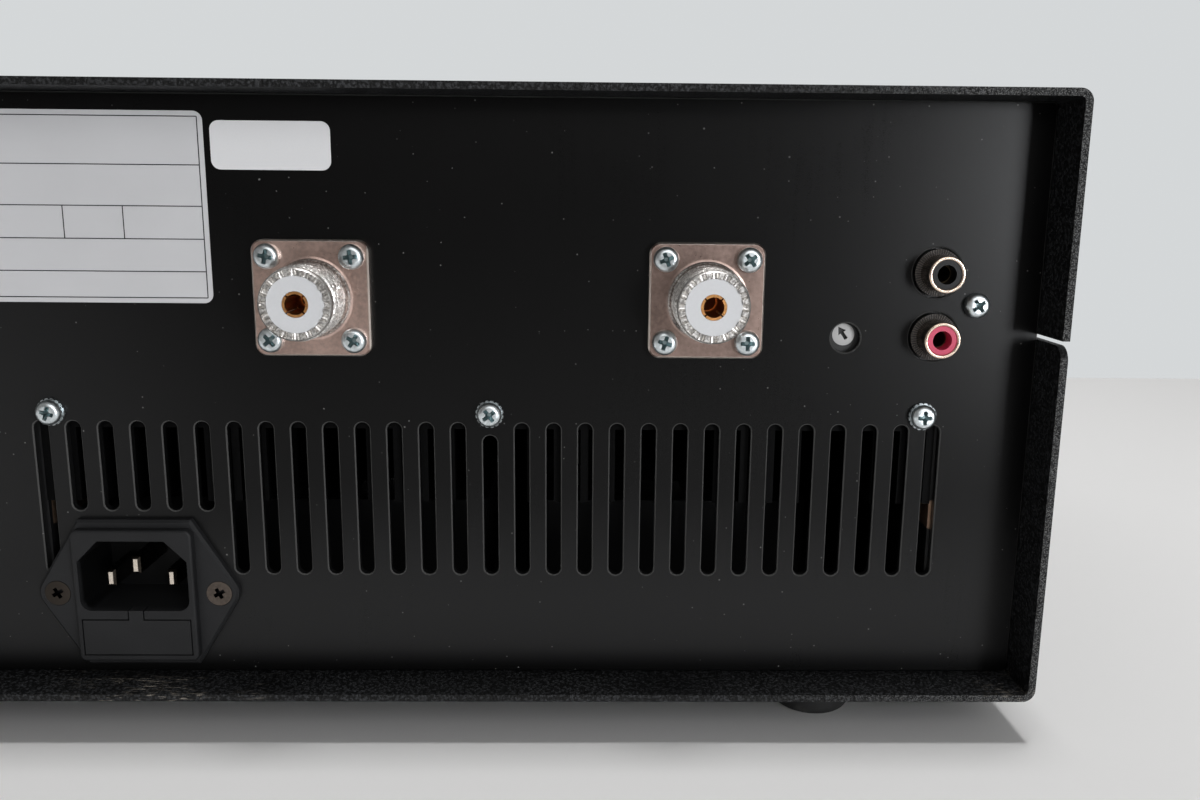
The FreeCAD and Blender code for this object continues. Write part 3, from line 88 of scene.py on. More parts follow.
# The short names of the shader's sockets.
SOCKETS = {
    "colour": "Base Color",
    "roughness": "Roughness",
    "metallic": "Metallic",
    "specular": "Specular IOR Level",
    "alpha": "Alpha",
    "normal": "Normal",
}


# ---------------------------------------------------------------- shader nodes
class Value:
    """One output of a shader node. Arithmetic on it adds Math nodes to the same tree."""

    def __init__(self, shading, made, output):
        self.shading = shading
        self.made = made
        self.socket = made.outputs[output]

    def other(self, output):
        """Another output of the same node."""
        return Value(self.shading, self.made, output)

    def math(self, operation, *inputs):
        """A Math node with these numbers or values on its sockets."""
        return self.shading.node("Math", {"operation": operation}, dict(enumerate(inputs)))

    def __add__(self, other):
        return self.math("ADD", self, other)

    def __radd__(self, other):
        return self.math("ADD", other, self)

    def __sub__(self, other):
        return self.math("SUBTRACT", self, other)

    def __rsub__(self, other):
        return self.math("SUBTRACT", other, self)

    def __mul__(self, other):
        return self.math("MULTIPLY", self, other)

    def __rmul__(self, other):
        return self.math("MULTIPLY", other, self)

    def __pow__(self, power):
        return self.math("POWER", self, power)

    def __abs__(self):
        return self.math("ABSOLUTE", self)

    def most(self, other):
        """The larger of two values."""
        return self.math("MAXIMUM", self, other)

    def least(self, other):
        """The smaller of two values."""
        return self.math("MINIMUM", self, other)

    def sine(self):
        return self.math("SINE", self)

    def turn(self, across):
        """The angle of a point that is this far up and that far across."""
        return self.math("ARCTAN2", self, across)

    def distance(self, other):
        """The straight distance over two that are square to each other."""
        return (self * self + other * other) ** 0.5

    def ramp(self, low, high):
        """0 below low, 1 above high and a smooth step between; low may be the larger one."""
        return self.shading.node("MapRange", {"interpolation_type": "SMOOTHSTEP"},
                                 {"Value": self, "From Min": low, "From Max": high})

    def scaled(self, low, high):
        """0 to 1 stretched to run from low to high."""
        return self * (high - low) + low


class Shading:
    """A node tree, and the one way that nodes are added to it."""

    def __init__(self, tree):
        self.tree = tree

    def node(self, kind, settings=None, sockets=None, output=0):
        """Adds a node. Its settings are made first, then its sockets."""
        made = self.tree.nodes.new("ShaderNode" + kind)
        for key, value in (settings or {}).items():
            setattr(made, key, value)
        self.feed(made, sockets or {})
        return Value(self, made, output)

    def feed(self, made, sockets):
        """Links values to a node's sockets and sets plain numbers and colours on them."""
        for key, value in sockets.items():
            if isinstance(value, Value):
                self.tree.links.new(value.socket, made.inputs[key])
            else:
                made.inputs[key].default_value = value

    def mix(self, share, first, second):
        """The first colour where share is 0 and the second where it is 1."""
        first, second = (end if isinstance(end, Value) else rgba(end) for end in (first, second))
        return self.node("Mix", {"data_type": "RGBA"}, {0: share, 6: first, 7: second}, 2)

    def tones(self, share, colour, start, end):
        """One colour, made start times as light where share is 0 and end times where it is 1."""
        return self.mix(share, lighter(colour, start), lighter(colour, end))


class Finish(Shading):
    """A material: one Principled shader, the nodes that feed it and its patterns."""

    def __init__(self, name, colour, roughness, metallic=0.0, **constants):
        self.material = bpy.data.materials.new(name)
        self.material.use_nodes = True
        super().__init__(self.material.node_tree)
        self.shader = self.tree.nodes["Principled BSDF"]
        self.material.diffuse_color = rgba(colour)
        self.set(colour=rgba(colour), roughness=roughness, metallic=metallic, **constants)
        self.place = self.node("TexCoord", output="Object")

    def set(self, **sockets):
        """Feeds the shader's sockets, by the short names that SOCKETS gives them."""
        self.feed(self.shader, {SOCKETS[name]: value for name, value in sockets.items()})
        return self

    def stain(self, share, colour):
        """Lays a colour over the one that feeds the shader so far, where share is 1."""
        feeding = self.shader.inputs["Base Color"].links[0].from_node
        return self.set(colour=self.mix(share, Value(self, feeding, 2), colour))

    def axis(self, letter):
        """One coordinate of the surface, in metres."""
        return self.node("SeparateXYZ", {}, {"Vector": self.place}, letter)

    def stretched(self, x=1.0, y=1.0, z=1.0):
        """The surface's place with each axis stretched, for grain that runs one way."""
        return self.node("Mapping", {}, {"Vector": self.place, "Scale": (1 / x, 1 / y, 1 / z)})

    def clouds(self, size, detail=2.0, place=None, distortion=0.0):
        """Smooth noise between 0 and 1, with features about size across."""
        return self.node("TexNoise", {}, {"Vector": place or self.place, "Scale": 1 / size,
                                          "Detail": detail, "Distortion": distortion})

    def cells(self, size):
        """The distance to the nearest of a field of points, as a share of size."""
        return self.node("TexVoronoi", {}, {"Vector": self.place, "Scale": 1 / size})

    def specks(self, spacing, radius, share, flat=False):
        """Small round dots of up to the radius, in that share of the cells of a spacing. Flat
        cells are laid out on the XZ plane and reach through the whole depth."""
        if flat:
            place = self.node("CombineXYZ", {}, {"X": self.axis("X"), "Y": self.axis("Z")})
            near = self.node("TexVoronoi", {"voronoi_dimensions": "2D"},
                             {"Vector": place, "Scale": 1 / spacing})
        else:
            near = self.cells(spacing)
        pick = self.node("SeparateColor", {}, {"Color": near.other("Color")})
        dot = (pick.other("Green") * (radius / spacing) - near).ramp(0.0, 0.25 * radius / spacing)
        return dot * pick.ramp(1 - share, 1 - share + 0.01)

    def band(self, value, middle, half_width, soft):
        """1 where a value is within half_width of its middle, softened at both sides."""
        return abs(value - middle).ramp(half_width + soft, half_width)

    def bump(self, height, depth):
        """Raises the surface by depth where height is 1."""
        return self.set(normal=self.node("Bump", {}, {"Height": height, "Distance": depth,
                                                      "Strength": 1.0}))

    def dress(self, *nodes):
        """Puts the material in every slot of the named CAD nodes."""
        for name in nodes:
            for slot in frame["nodes"][name].material_slots:
                slot.material = self.material
        return self


def rgba(colour):
    """A colour with its alpha, from three or four numbers."""
    return (*tuple(colour)[:3], 1.0)


def lighter(colour, times):
    """A colour made lighter or darker by a factor."""
    return tuple(min(1.0, channel * times) for channel in tuple(colour)[:3])


# ---------------------------------------------------------------- finishes shared by several parts
def moulded(name, colour, roughness, grain=0.25 * MM, depth=0.01 * MM, **constants):
    """Moulded plastic: a fine even grain, with slow clouds in its gloss and tone."""
    plastic = Finish(name, colour, roughness, **constants)
    fine = plastic.clouds(grain)
    slow = plastic.clouds(14 * MM)
    plastic.set(colour=plastic.tones(slow.ramp(0.3, 0.75), colour, 0.88, 1.15),
                roughness=(fine * 0.5 + slow * 0.5).scaled(roughness - 0.06, roughness + 0.1))
    return plastic.bump(fine, depth)


def plated(name, colour, roughness, mottle=0.8 * MM, depth=0.01 * MM, grain=None):
    """Plated metal: mottled tone and gloss, fine pits, and grain that may run one way."""
    metal = Finish(name, colour, roughness, 1.0)
    blotch = metal.clouds(mottle, 3.0)
    slow = metal.clouds(9 * MM)
    fine = metal.clouds(0.12 * MM, 2.0, grain and metal.stretched(*grain))
    metal.set(colour=metal.tones(blotch.ramp(0.3, 0.7), colour, 0.82, 1.12),
              roughness=(blotch * 0.5 + slow * 0.5).scaled(roughness - 0.1, roughness + 0.14))
    return metal.bump(fine * 0.5 + blotch * 0.5, depth)


def pale(name, colour, grain, detail, tones, gloss, depth, slow=None, metallic=0.0):
    """A pale even surface. Its gloss and relief follow a fine grain, and its tone follows the
    same grain or, where slow is a size, clouds of that size."""
    surface = Finish(name, colour, gloss[0], metallic)
    fine = surface.clouds(grain, detail)
    surface.set(colour=surface.tones(surface.clouds(slow) if slow else fine, colour, *tones),
                roughness=fine.scaled(*gloss))
    return surface.bump(fine, depth)


def circuit_board(name, mask_colour, normal_axis):
    """Solder mask over copper tracks that run square to each other, with tinned pads."""
    board = Finish(name, mask_colour, 0.34)
    place = board.stretched(**{normal_axis: 60.0})
    tracks = board.node("TexVoronoi", {"feature": "F1", "distance": "CHEBYCHEV"},
                        {"Vector": place, "Scale": 1 / (5 * MM), "Randomness": 0.55})
    edges = board.band(tracks, 0.36, 0.05, 0.02)
    chosen = board.node("SeparateColor", {}, {"Color": tracks.other("Color")}).ramp(0.5, 0.52)
    pads = tracks.ramp(0.13, 0.11) * chosen
    fibre = board.clouds(0.4 * MM, 2.0, place)
    mask = board.tones(edges, mask_colour, 1.0, 2.2)
    board.set(colour=board.mix(pads, mask, (0.62, 0.62, 0.60)), metallic=pads,
              roughness=fibre.scaled(0.26, 0.42))
    return board.bump(edges * 0.5 + pads * 0.8 + fibre * 0.1, 0.05 * MM)


# ---------------------------------------------------------------- surfaces worked out with numpy
def grid_quads(rows, columns, wrap=False):
    """Quads that join neighbours on a grid of points, whose columns may go round to the first."""
    row = np.arange(rows - 1)[:, None] * columns
    column = np.arange(columns if wrap else columns - 1)[None, :]
    after = (column + 1) % columns
    return np.stack([row + column, row + after, row + columns + after, row + columns + column],
                    axis=-1).reshape(-1, 4)


def new_piece(name, points, quads, finish, body, smooth=True):
    """A mesh from an array of points and one of quads, which rides on a body."""
    mesh = bpy.data.meshes.new(name)
    mesh.from_pydata(points.reshape(-1, 3).tolist(), [], quads.tolist())
    mesh.polygons.foreach_set("use_smooth", np.full(len(mesh.polygons), smooth))
    mesh.update()
    return place_piece(name, mesh, finish, body)


def place_piece(name, mesh, finish, body):
    """Links a finished mesh to the scene as a piece of a body."""
    mesh.materials.append(finish.material)
    piece = bpy.data.objects.new(name, mesh)
    bpy.context.scene.collection.objects.link(piece)
    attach(piece, body)
    return piece


def unit(vectors):
    """Vectors scaled to length 1."""
    return vectors / np.linalg.norm(vectors, axis=-1, keepdims=True)


def wire(name, path, radius, sides, finish):
    """A wire of the case along a path: each path point plus the radius times cos of the angle
    round it along one cross direction and sin along the other. Both are square to the path's
    slope, and the first is square to a fixed slanted direction as well."""
    slope = unit(np.gradient(path, axis=0))
    across = unit(np.cross(slope, np.array([0.31, 0.22, 0.92])))
    up = np.cross(slope, across)
    angle = np.linspace(0, 2 * math.pi, sides, endpoint=False)[None, :, None]
    points = path[:, None, :] + radius * (np.cos(angle) * across[:, None, :]
                                          + np.sin(angle) * up[:, None, :])
    quads = grid_quads(len(path), sides, wrap=True)
    return new_piece(name, points, quads, finish, "case")


def squared(wave, power):
    """A sine or cosine raised to a power with its sign kept, which squares up a circle."""
    return np.sign(wave) * np.abs(wave) ** power


def arc_band(radius, width, start, end, steps):
    """A band along an arc, in degrees from straight up: x is the radius times the angle's sine
    and z the radius times its cosine, at radius minus and plus half the width."""
    angle = np.radians(np.linspace(start, end, steps))[:, None]
    reach = (radius + np.array([-0.5, 0.5]) * width)[None, :]
    return np.stack([reach * np.sin(angle), reach * np.cos(angle)], axis=-1)


def spokes(inner, outer, width, angles):
    """Straight ticks along spokes: each runs from the inner to the outer radius, and its sides
    are half the width off the spoke, square to it."""
    return [np.array([[[r * math.sin(a) + s * math.cos(a), r * math.cos(a) - s * math.sin(a)]
                       for s in (-width / 2, width / 2)] for r in (inner, outer)])
            for a in np.radians(angles)]


def bar(start, end, width):
    """A straight strip between two points, half the width to each side of its line."""
    start, end = np.array(start), np.array(end)
    along = unit(end - start)
    side = np.array([-along[1], along[0]]) * width / 2
    return np.array([[start - side, start + side], [end - side, end + side]])


def printed(name, bands, origin, thickness, finish, body, facing=-1):
    """Printed strips as thin plates on an XZ plane: each band's (x, z) points are moved to the
    origin, once on the plane and once a thickness in front of it, and joined along their edges."""
    points, faces, made = [], [], 0
    for band in bands:
        ring = np.concatenate([band[:, 0], band[::-1, 1]])
        size = len(ring)
        for depth in (0.0, facing * thickness):
            points.append(np.stack([origin[0] + ring[:, 0], np.full(size, origin[1] + depth),
                                    origin[2] + ring[:, 1]], axis=-1))
        step = np.arange(len(band) - 1)
        back = np.stack([step, step + 1, size - 2 - step, size - 1 - step], axis=-1)
        turn = np.arange(size)
        after = (turn + 1) % size
        around = np.stack([turn, turn + size, after + size, after], axis=-1)
        faces += [back + made, back[:, ::-1] + size + made, around + made]
        made += 2 * size
    piece = new_piece(name, np.concatenate(points), np.concatenate(faces), finish, body,
                      smooth=False)
    mended = bmesh.new()
    mended.from_mesh(piece.data)
    bmesh.ops.recalc_face_normals(mended, faces=mended.faces)
    mended.to_mesh(piece.data)
    mended.free()
    return piece


def lettering(name, words, finish, body):
    """Plain figures as one thin mesh. Each word is (text, height, matrix), and the matrix takes
    the text's own plane to its place on the part."""
    joined = bmesh.new()
    for text, height, matrix in words:
        curve = bpy.data.curves.new(name, "FONT")
        curve.body = text
        curve.size = 1.38 * height
        curve.align_x = curve.align_y = "CENTER"
        curve.extrude = 0.02 * MM
        curve.resolution_u = 5
        holder = bpy.data.objects.new(name, curve)
        mesh = bpy.data.meshes.new_from_object(holder)
        mesh.transform(matrix)
        joined.from_mesh(mesh)
        bpy.data.objects.remove(holder)
        bpy.data.curves.remove(curve)
        bpy.data.meshes.remove(mesh)
    bmesh.ops.remove_doubles(joined, verts=joined.verts, dist=1e-7)
    final = bpy.data.meshes.new(name)
    joined.to_mesh(final)
    joined.free()
    return place_piece(name, final, finish, body)


def facing_front(x, y, z):
    """The place of a word that reads from the front: its right is +X, its top +Z."""
    return Matrix.Translation((x, y, z)) @ Matrix.Rotation(math.radians(90), 4, "X")


def round_dial(figures, height, reach, pivot):
    """Words round a pivot, from pairs of text and degrees from straight up: x grows by the reach
    times the angle's sine and z by the reach times its cosine."""
    words = []
    for text, degrees in figures:
        angle = math.radians(degrees)
        place = (pivot[0] + reach * math.sin(angle), pivot[1], pivot[2] + reach * math.cos(angle))
        words.append((text, height, facing_front(*place)))
    return words


# ---------------------------------------------------------------- settings
def number(name, description, default, unit="LENGTH", **limits):
    """One number, which is a place in metres unless another unit is named."""
    return bpy.props.FloatProperty(name=name, description=description, default=default, unit=unit,
                                   **limits)


def length(name, description, default):
    """A size in metres."""
    return number(name, description, default, min=0.0, precision=5)


def share(name, description, default):
    """A part of the whole, from 0 to 1."""
    return number(name, description, default, "NONE", min=0.0, max=1.0, subtype="FACTOR")


def numbers(name, description, default, unit="LENGTH", **limits):
    """Several numbers, which are places in metres unless another unit is named."""
    return bpy.props.FloatVectorProperty(name=name, description=description, default=default,
                                         size=len(default), unit=unit, **limits)


def colour(name, description, default):
    """A linear colour."""
    return numbers(name, description, default, "NONE", min=0.0, max=1.0, subtype="COLOR")


def count(name, description, default, fewest, most):
    """How many of something there are."""
    return bpy.props.IntProperty(name=name, description=description, default=default,
                                 min=fewest, max=most)


class CaseLook(bpy.types.PropertyGroup):
    """Paint of the case and its panels"""

    cover: colour("Covers", "Powder coat of the top and bottom cover", (0.0028, 0.0029, 0.0031))
    grain: length("Grain", "Size of the powder coat's grains", 0.55 * MM)
    grain_depth: length("Grain depth", "Height of the powder coat's grains", 0.50 * MM)
    cover_roughness: share("Cover roughness", "Roughness of the powder coat", 0.48)
    sheet: length("Sheet", "Thickness of the covers' sheet", 2.0 * MM)
    dust_top: length("Dust top", "Height up to which dust lies on the lower lip", 13.5 * MM)
    panel: colour("Rear panel", "Satin paint of the rear panel", (0.0012, 0.0012, 0.0013))
    # Colour of the painted reflection low on the rear panel and on its high-X side.
    panel_film: colour("Panel film", "Rear panel where fine dust dulls its foot",
                       (0.0140, 0.0140, 0.0143))
    panel_roughness: share("Panel roughness", "Roughness of the satin paint", 0.28)
    dust: share("Dust", "How much dust lies on the case", 0.4)
    heap_x: number("Dust heap", "X of the dust on the lower lip", 0.035)
    fascia: colour("Fascia", "Paint of the front fascia", (0.012, 0.012, 0.013))


class ConnectorLook(bpy.types.PropertyGroup):
    """Metals and plastics of the connectors"""

    nickel: colour("Nickel", "Plating of the connectors", (0.50, 0.445, 0.405))
    zinc: colour("Zinc", "Passivated zinc of the pan-head screws", (0.78, 0.84, 0.86))
    # Colour of the painted shade in the screws' recesses.
    grime: colour("Grime", "Dark film in the screws' recesses", (0.25, 0.32, 0.33))
    head_width: length("Head width", "Width that holds one screw's head", 6.5 * MM)
    recess_reach: length("Recess reach", "Half the span of the screws' cross recess", 1.7 * MM)
    recess_depth: length("Recess depth", "How deep the grime goes below a screw's top", 2.0 * MM)
    gold: colour("Gold", "Plating of the centre contacts", (0.68, 0.335, 0.125))
    flange: length("Flange", "Thickness of the RF sockets' flanges", 2.0 * MM)
    # Width of the painted highlight round the flanges.
    bright_rim: length("Bright rim", "Width of the polished rim round the flanges", 0.45 * MM)
    # Radius beyond which the barrel's nose is painted in shade.
    barrel_crest: length("Barrel crest", "Radius beyond which the barrel's nose is worn", 7.35 * MM)
    insulator: colour("Insulator", "White insulator of the RF sockets", (0.67, 0.675, 0.69))
    red_core: colour("Red core", "Core of the lower phono socket", (0.62, 0.045, 0.115))
    ribs: count("Ribs", "Ribs round a phono socket's collar", 56, 8, 120)
    earth_lead: length("Earth lead", "How far the earth blade stands before the others", 2.4 * MM)
    mouth_half: length("Mouth", "Half the width of the inlet's opening", 12.6 * MM)
    mouth_foot: length("Mouth foot", "From the inlet's foot up to its opening", 14.0 * MM)
    mouth_head: length("Mouth head", "From the inlet's top down to its opening", 3.4 * MM)
    fuse_glass: length("Fuse glass", "Half the length of a fuse's glass", 5.45 * MM)
    black_plastic: colour("Black plastic", "Mouldings of the sockets", (0.0060, 0.0061, 0.0065))


class LabelLook(bpy.types.PropertyGroup):
    """The two stickers on the rear panel"""

    silver: colour("Silver", "Face of the ruled sticker", (0.62, 0.62, 0.635))
    white: colour("White", "Face of the plain sticker", (0.74, 0.74, 0.75))
    line: length("Line", "Width of the ruled lines", 0.22 * MM)
    inset: length("Inset", "From the sticker's edge to its border line", 1.15 * MM)
    rows: numbers("Rows", "Lines across, as shares of the height down from the top",
                  (0.275, 0.488, 0.660, 0.832), "NONE")
    uprights: numbers("Uprights", "Short uprights, from the sticker's low X edge",
                      (18.3 * MM, 31.2 * MM, 47.0 * MM))


class MeterLook(bpy.types.PropertyGroup):
    """Scales of the two panel meters"""

    card: colour("Card", "Dial card", (0.80, 0.78, 0.70))
    ink: colour("Ink", "Scale print", (0.012, 0.012, 0.014))
    warning: colour("Upper range", "Arc at the end of the scale", (0.55, 0.03, 0.02))
    radius: length("Scale radius", "Radius of the scale's arc about the pivot", 30.5 * MM)
    upper_width: length("Upper range width", "Width of the arc for the upper range", 1.4 * MM)
    upper_drop: length("Upper range drop", "How far that arc lies inside the scale's", 1.5 * MM)
    tick: length("Tick", "Length of a long tick", 3.4 * MM)
    figure: length("Figure", "Height of the figures", 3.3 * MM)
    line: length("Line", "Width of the arc and ticks", 0.40 * MM)


class FrontLook(bpy.types.PropertyGroup):
    """Controls and marks on the front"""

    print_colour: colour("Print", "White print on the fascia", (0.72, 0.72, 0.70))
    knob: colour("Knob", "Band selector's knob", (0.013, 0.013, 0.014))
    knob_line_start: length("Knob line start", "Where the knob's line starts, from its axis",
                            6.3 * MM)
    knob_line_end: length("Knob line end", "Where the knob's line ends, from its axis", 15.2 * MM)
    knob_line: length("Knob line", "Width of the knob's line", 1.2 * MM)
    knob_dish: length("Knob dish", "How deep the knob's face lies in its rim", 0.6 * MM)
    figure: length("Figure", "Height of the band numbers", 3.8 * MM)
    figure_radius: length("Figure radius", "Band numbers' distance from the knob's axis", 25.5 * MM)
    tick_start: length("Tick start", "Where the knob's ticks start, from its axis", 20.4 * MM)
    tick_end: length("Tick end", "Where the knob's ticks end, from its axis", 22.4 * MM)
    tick: length("Tick", "Width of the knob's ticks", 0.5 * MM)
    steps: count("Positions", "Positions of the band selector", 6, 2, 12)
    rocker_tip: length("Rocker tip", "From the rocker's pin out to its tips", 7.5 * MM)
    rocker_dip: length("Rocker dip", "How deep the rocker's face dips between its tips", 1.6 * MM)
    rocker_half: length("Rocker half", "Half the rocker's height", 9.3 * MM)
    rocker_mark: length("Rocker mark", "Height of the rocker's marks", 3.6 * MM)
    button_figure: length("Button figure", "Height of the buttons' figures", 3.4 * MM)
    button_drop: length("Button drop", "From a button's foot down to its figure", 2.5 * MM)
    lamp_width: length("Lamp width", "Width of a lamp over its collar", 7.0 * MM)


class InsideLook(bpy.types.PropertyGroup):
    """Parts inside the case"""

    board: colour("Board", "Solder mask", (0.012, 0.085, 0.030))
    copper: colour("Copper", "Enamelled wire", (0.55, 0.19, 0.07))
    turns: count("Turns", "Turns of wire on a ring core", 11, 3, 30)
    wire: length("Wire", "Radius of the winding wire", 0.45 * MM)
    ring_outer: length("Ring radius", "Outer radius of a ring core", 8.0 * MM)
    ring_middle: length("Ring middle", "Middle radius of a ring core", 6.0 * MM)
    block_width: length("Block width", "Width of a ferrite transformer", 26.0 * MM)
    loop_turns: count("Loop turns", "Turns through a ferrite transformer", 3, 1, 6)
    loop_reach: length("Loop reach", "How far the loops pass the ferrite's ends", 3.0 * MM)
    loop_climb: length("Loop climb", "How far the loops move up from first to last", 4.5 * MM)
    # Place of the painted light on the brackets.
    patch_z: length("Patch height", "Height of the bare patch on the brackets", 51.3 * MM)
    patch_half: length("Patch half", "Half the height of that patch", 3.1 * MM)
    flange_top: length("Flange top", "Top of a transistor's flange above its foot", 2.55 * MM)
    tape_half_y: length("Tape half width", "Half the width of the taped winding", 16.35 * MM)
    tape_half_z: length("Tape half height", "Half the height of the taped winding", 10.4 * MM)
    tape_proud: length("Tape proud", "How far the winding stands out of the iron", 2.9 * MM)


class StageLook(bpy.types.PropertyGroup):
    """Camera, floor and light"""

    lens: number("Lens", "Focal length on a 36 mm sensor", 30.69, "CAMERA")
    place: numbers("Camera", "Where the camera stands", (-0.05841, 0.37567, 0.12298),
                   subtype="TRANSLATION")
    aim: numbers("Aim", "The camera's turn about X, Y and Z", (1.374288, -0.008925, 3.126269),
                 "ROTATION", subtype="EULER")
    floor: colour("Floor", "Bench top", (0.74, 0.735, 0.73))
    wall: colour("Wall", "Plain wall behind the bench", (0.66, 0.68, 0.69))
    bench_half: length("Bench half", "Half the bench's length", 2.4)
    bench_edge: number("Bench edge", "Y of the bench's far edge", -0.332)
    bench_end: number("Bench end", "Y of the bench's near edge", 0.70)
    room: number("Room", "Light from all round", 0.20, "NONE")
    over: number("Overhead", "Small soft box straight above", 13.0, "POWER")
    fill: number("Fill", "Wide soft box before the connectors", 5.5, "POWER")
    side: number("Side", "Upright soft box beside the connectors", 0.7, "POWER")
    side_colour: colour("Side colour", "Colour of the side box", (0.95, 0.97, 1.0))
    beam: number("Beam", "How wide the side box shines", math.radians(40), "ROTATION")
    front: number("Front", "Soft box before the controls", 10.0, "POWER")


# ---------------------------------------------------------------- operators
class DressOperator:
    """What the operators share: they can be undone."""

    bl_options = {"REGISTER", "UNDO"}


class AMPLIFIER_OT_stage(DressOperator, bpy.types.Operator):
    """Sets up the camera, the pale bench and wall and the soft boxes"""

    bl_idname = "amplifier.stage"
    bl_label = "Stage"

    def execute(self, context):
        scene, look = context.scene, context.scene.amp_stage
        self.camera(scene, look)
        self.bench(scene, look)
        self.world(scene, look)
        self.soft_box(scene, "fill", (-0.35, 1.45, 0.85), (0, 0.15, 0.08), (1.2, 0.8), look.fill)
        self.soft_box(scene, "overhead", (-0.19, 0.168, 1.5), (-0.19, 0.168, 0.0), (0.25, 0.25),
                      look.over)
        side = self.soft_box(scene, "side", (-1.0, 1.50, 0.15), (-0.15, 0.15, 0.11), (0.42, 0.55),
                             look.side)
        side.spread = look.beam
        side.color = look.side_colour
        self.soft_box(scene, "front", (0.5, -1.5, 1.2), (0, -0.1, 0.06), (1.2, 1.0), look.front)
        scene.view_settings.view_transform = "Standard"
        return {"FINISHED"}

    def camera(self, scene, look):
        """The scene's camera, which sees from 10 mm to 50 m."""
        data = bpy.data.cameras.new("camera")
        data.sensor_width = 36.0
        data.lens = look.lens
        data.clip_start = 0.01
        data.clip_end = 50.0
        camera = bpy.data.objects.new("camera", data)
        camera.location = look.place
        camera.rotation_euler = Euler(look.aim)
        scene.collection.objects.link(camera)
        scene.camera = camera

    def bench(self, scene, look):
        """A flat grid of points from the bench's far edge to its near one, behind the camera."""
        steps = 13
        x = np.linspace(-look.bench_half, look.bench_half, steps)
        y = np.linspace(look.bench_edge, look.bench_end, steps)
        points = np.stack(np.meshgrid(x, y) + [np.zeros((steps, steps))], axis=-1)
        top = Finish("bench_top", look.floor, 0.55)
        slow = top.clouds(0.35)
        top.set(colour=top.tones(slow, look.floor, 0.985, 1.015),
                roughness=slow.scaled(0.75, 0.85), specular=0.12)
        mesh = bpy.data.meshes.new("bench")
        mesh.from_pydata(points.reshape(-1, 3).tolist(), [], grid_quads(steps, steps).tolist())
        mesh.materials.append(top.material)
        bench = bpy.data.objects.new("bench", mesh)
        scene.collection.objects.link(bench)

    def world(self, scene, look):
        """The wall's colour where it is seen, also in metal on the wall's side, a dim room in
        reflections on the other side, and plain light from all round for everything else."""
        world = bpy.data.worlds.new("room")
        world.use_nodes = True
        shading = Shading(world.node_tree)
        ray = shading.node("LightPath")
        way = shading.node("TexCoord", output="Generated")
        ahead = shading.node("SeparateXYZ", {}, {"Vector": way}, "Y")
        mirrored = shading.mix(ahead.ramp(-0.05, 0.25), look.wall, (0.18, 0.175, 0.17))
        light = shading.mix(ray.other("Is Glossy Ray"), (look.room, look.room, look.room), mirrored)
        shown = ray.other("Is Camera Ray").most(ray.other("Is Transmission Ray"))
        shading.feed(shading.tree.nodes["Background"],
                     {"Color": shading.mix(shown, light, look.wall), "Strength": 1.0})
        scene.world = world

    def soft_box(self, scene, name, place, target, size, power):
        """A rectangular lamp of a width and height that faces its target."""
        data = bpy.data.lights.new(name, "AREA")
        data.shape = "RECTANGLE"
        data.size, data.size_y = size
        data.energy = power
        lamp = bpy.data.objects.new(name, data)
        lamp.location = place
        lamp.rotation_euler = (Vector(target) - Vector(place)).to_track_quat("-Z", "Y").to_euler()
        scene.collection.objects.link(lamp)
        return data


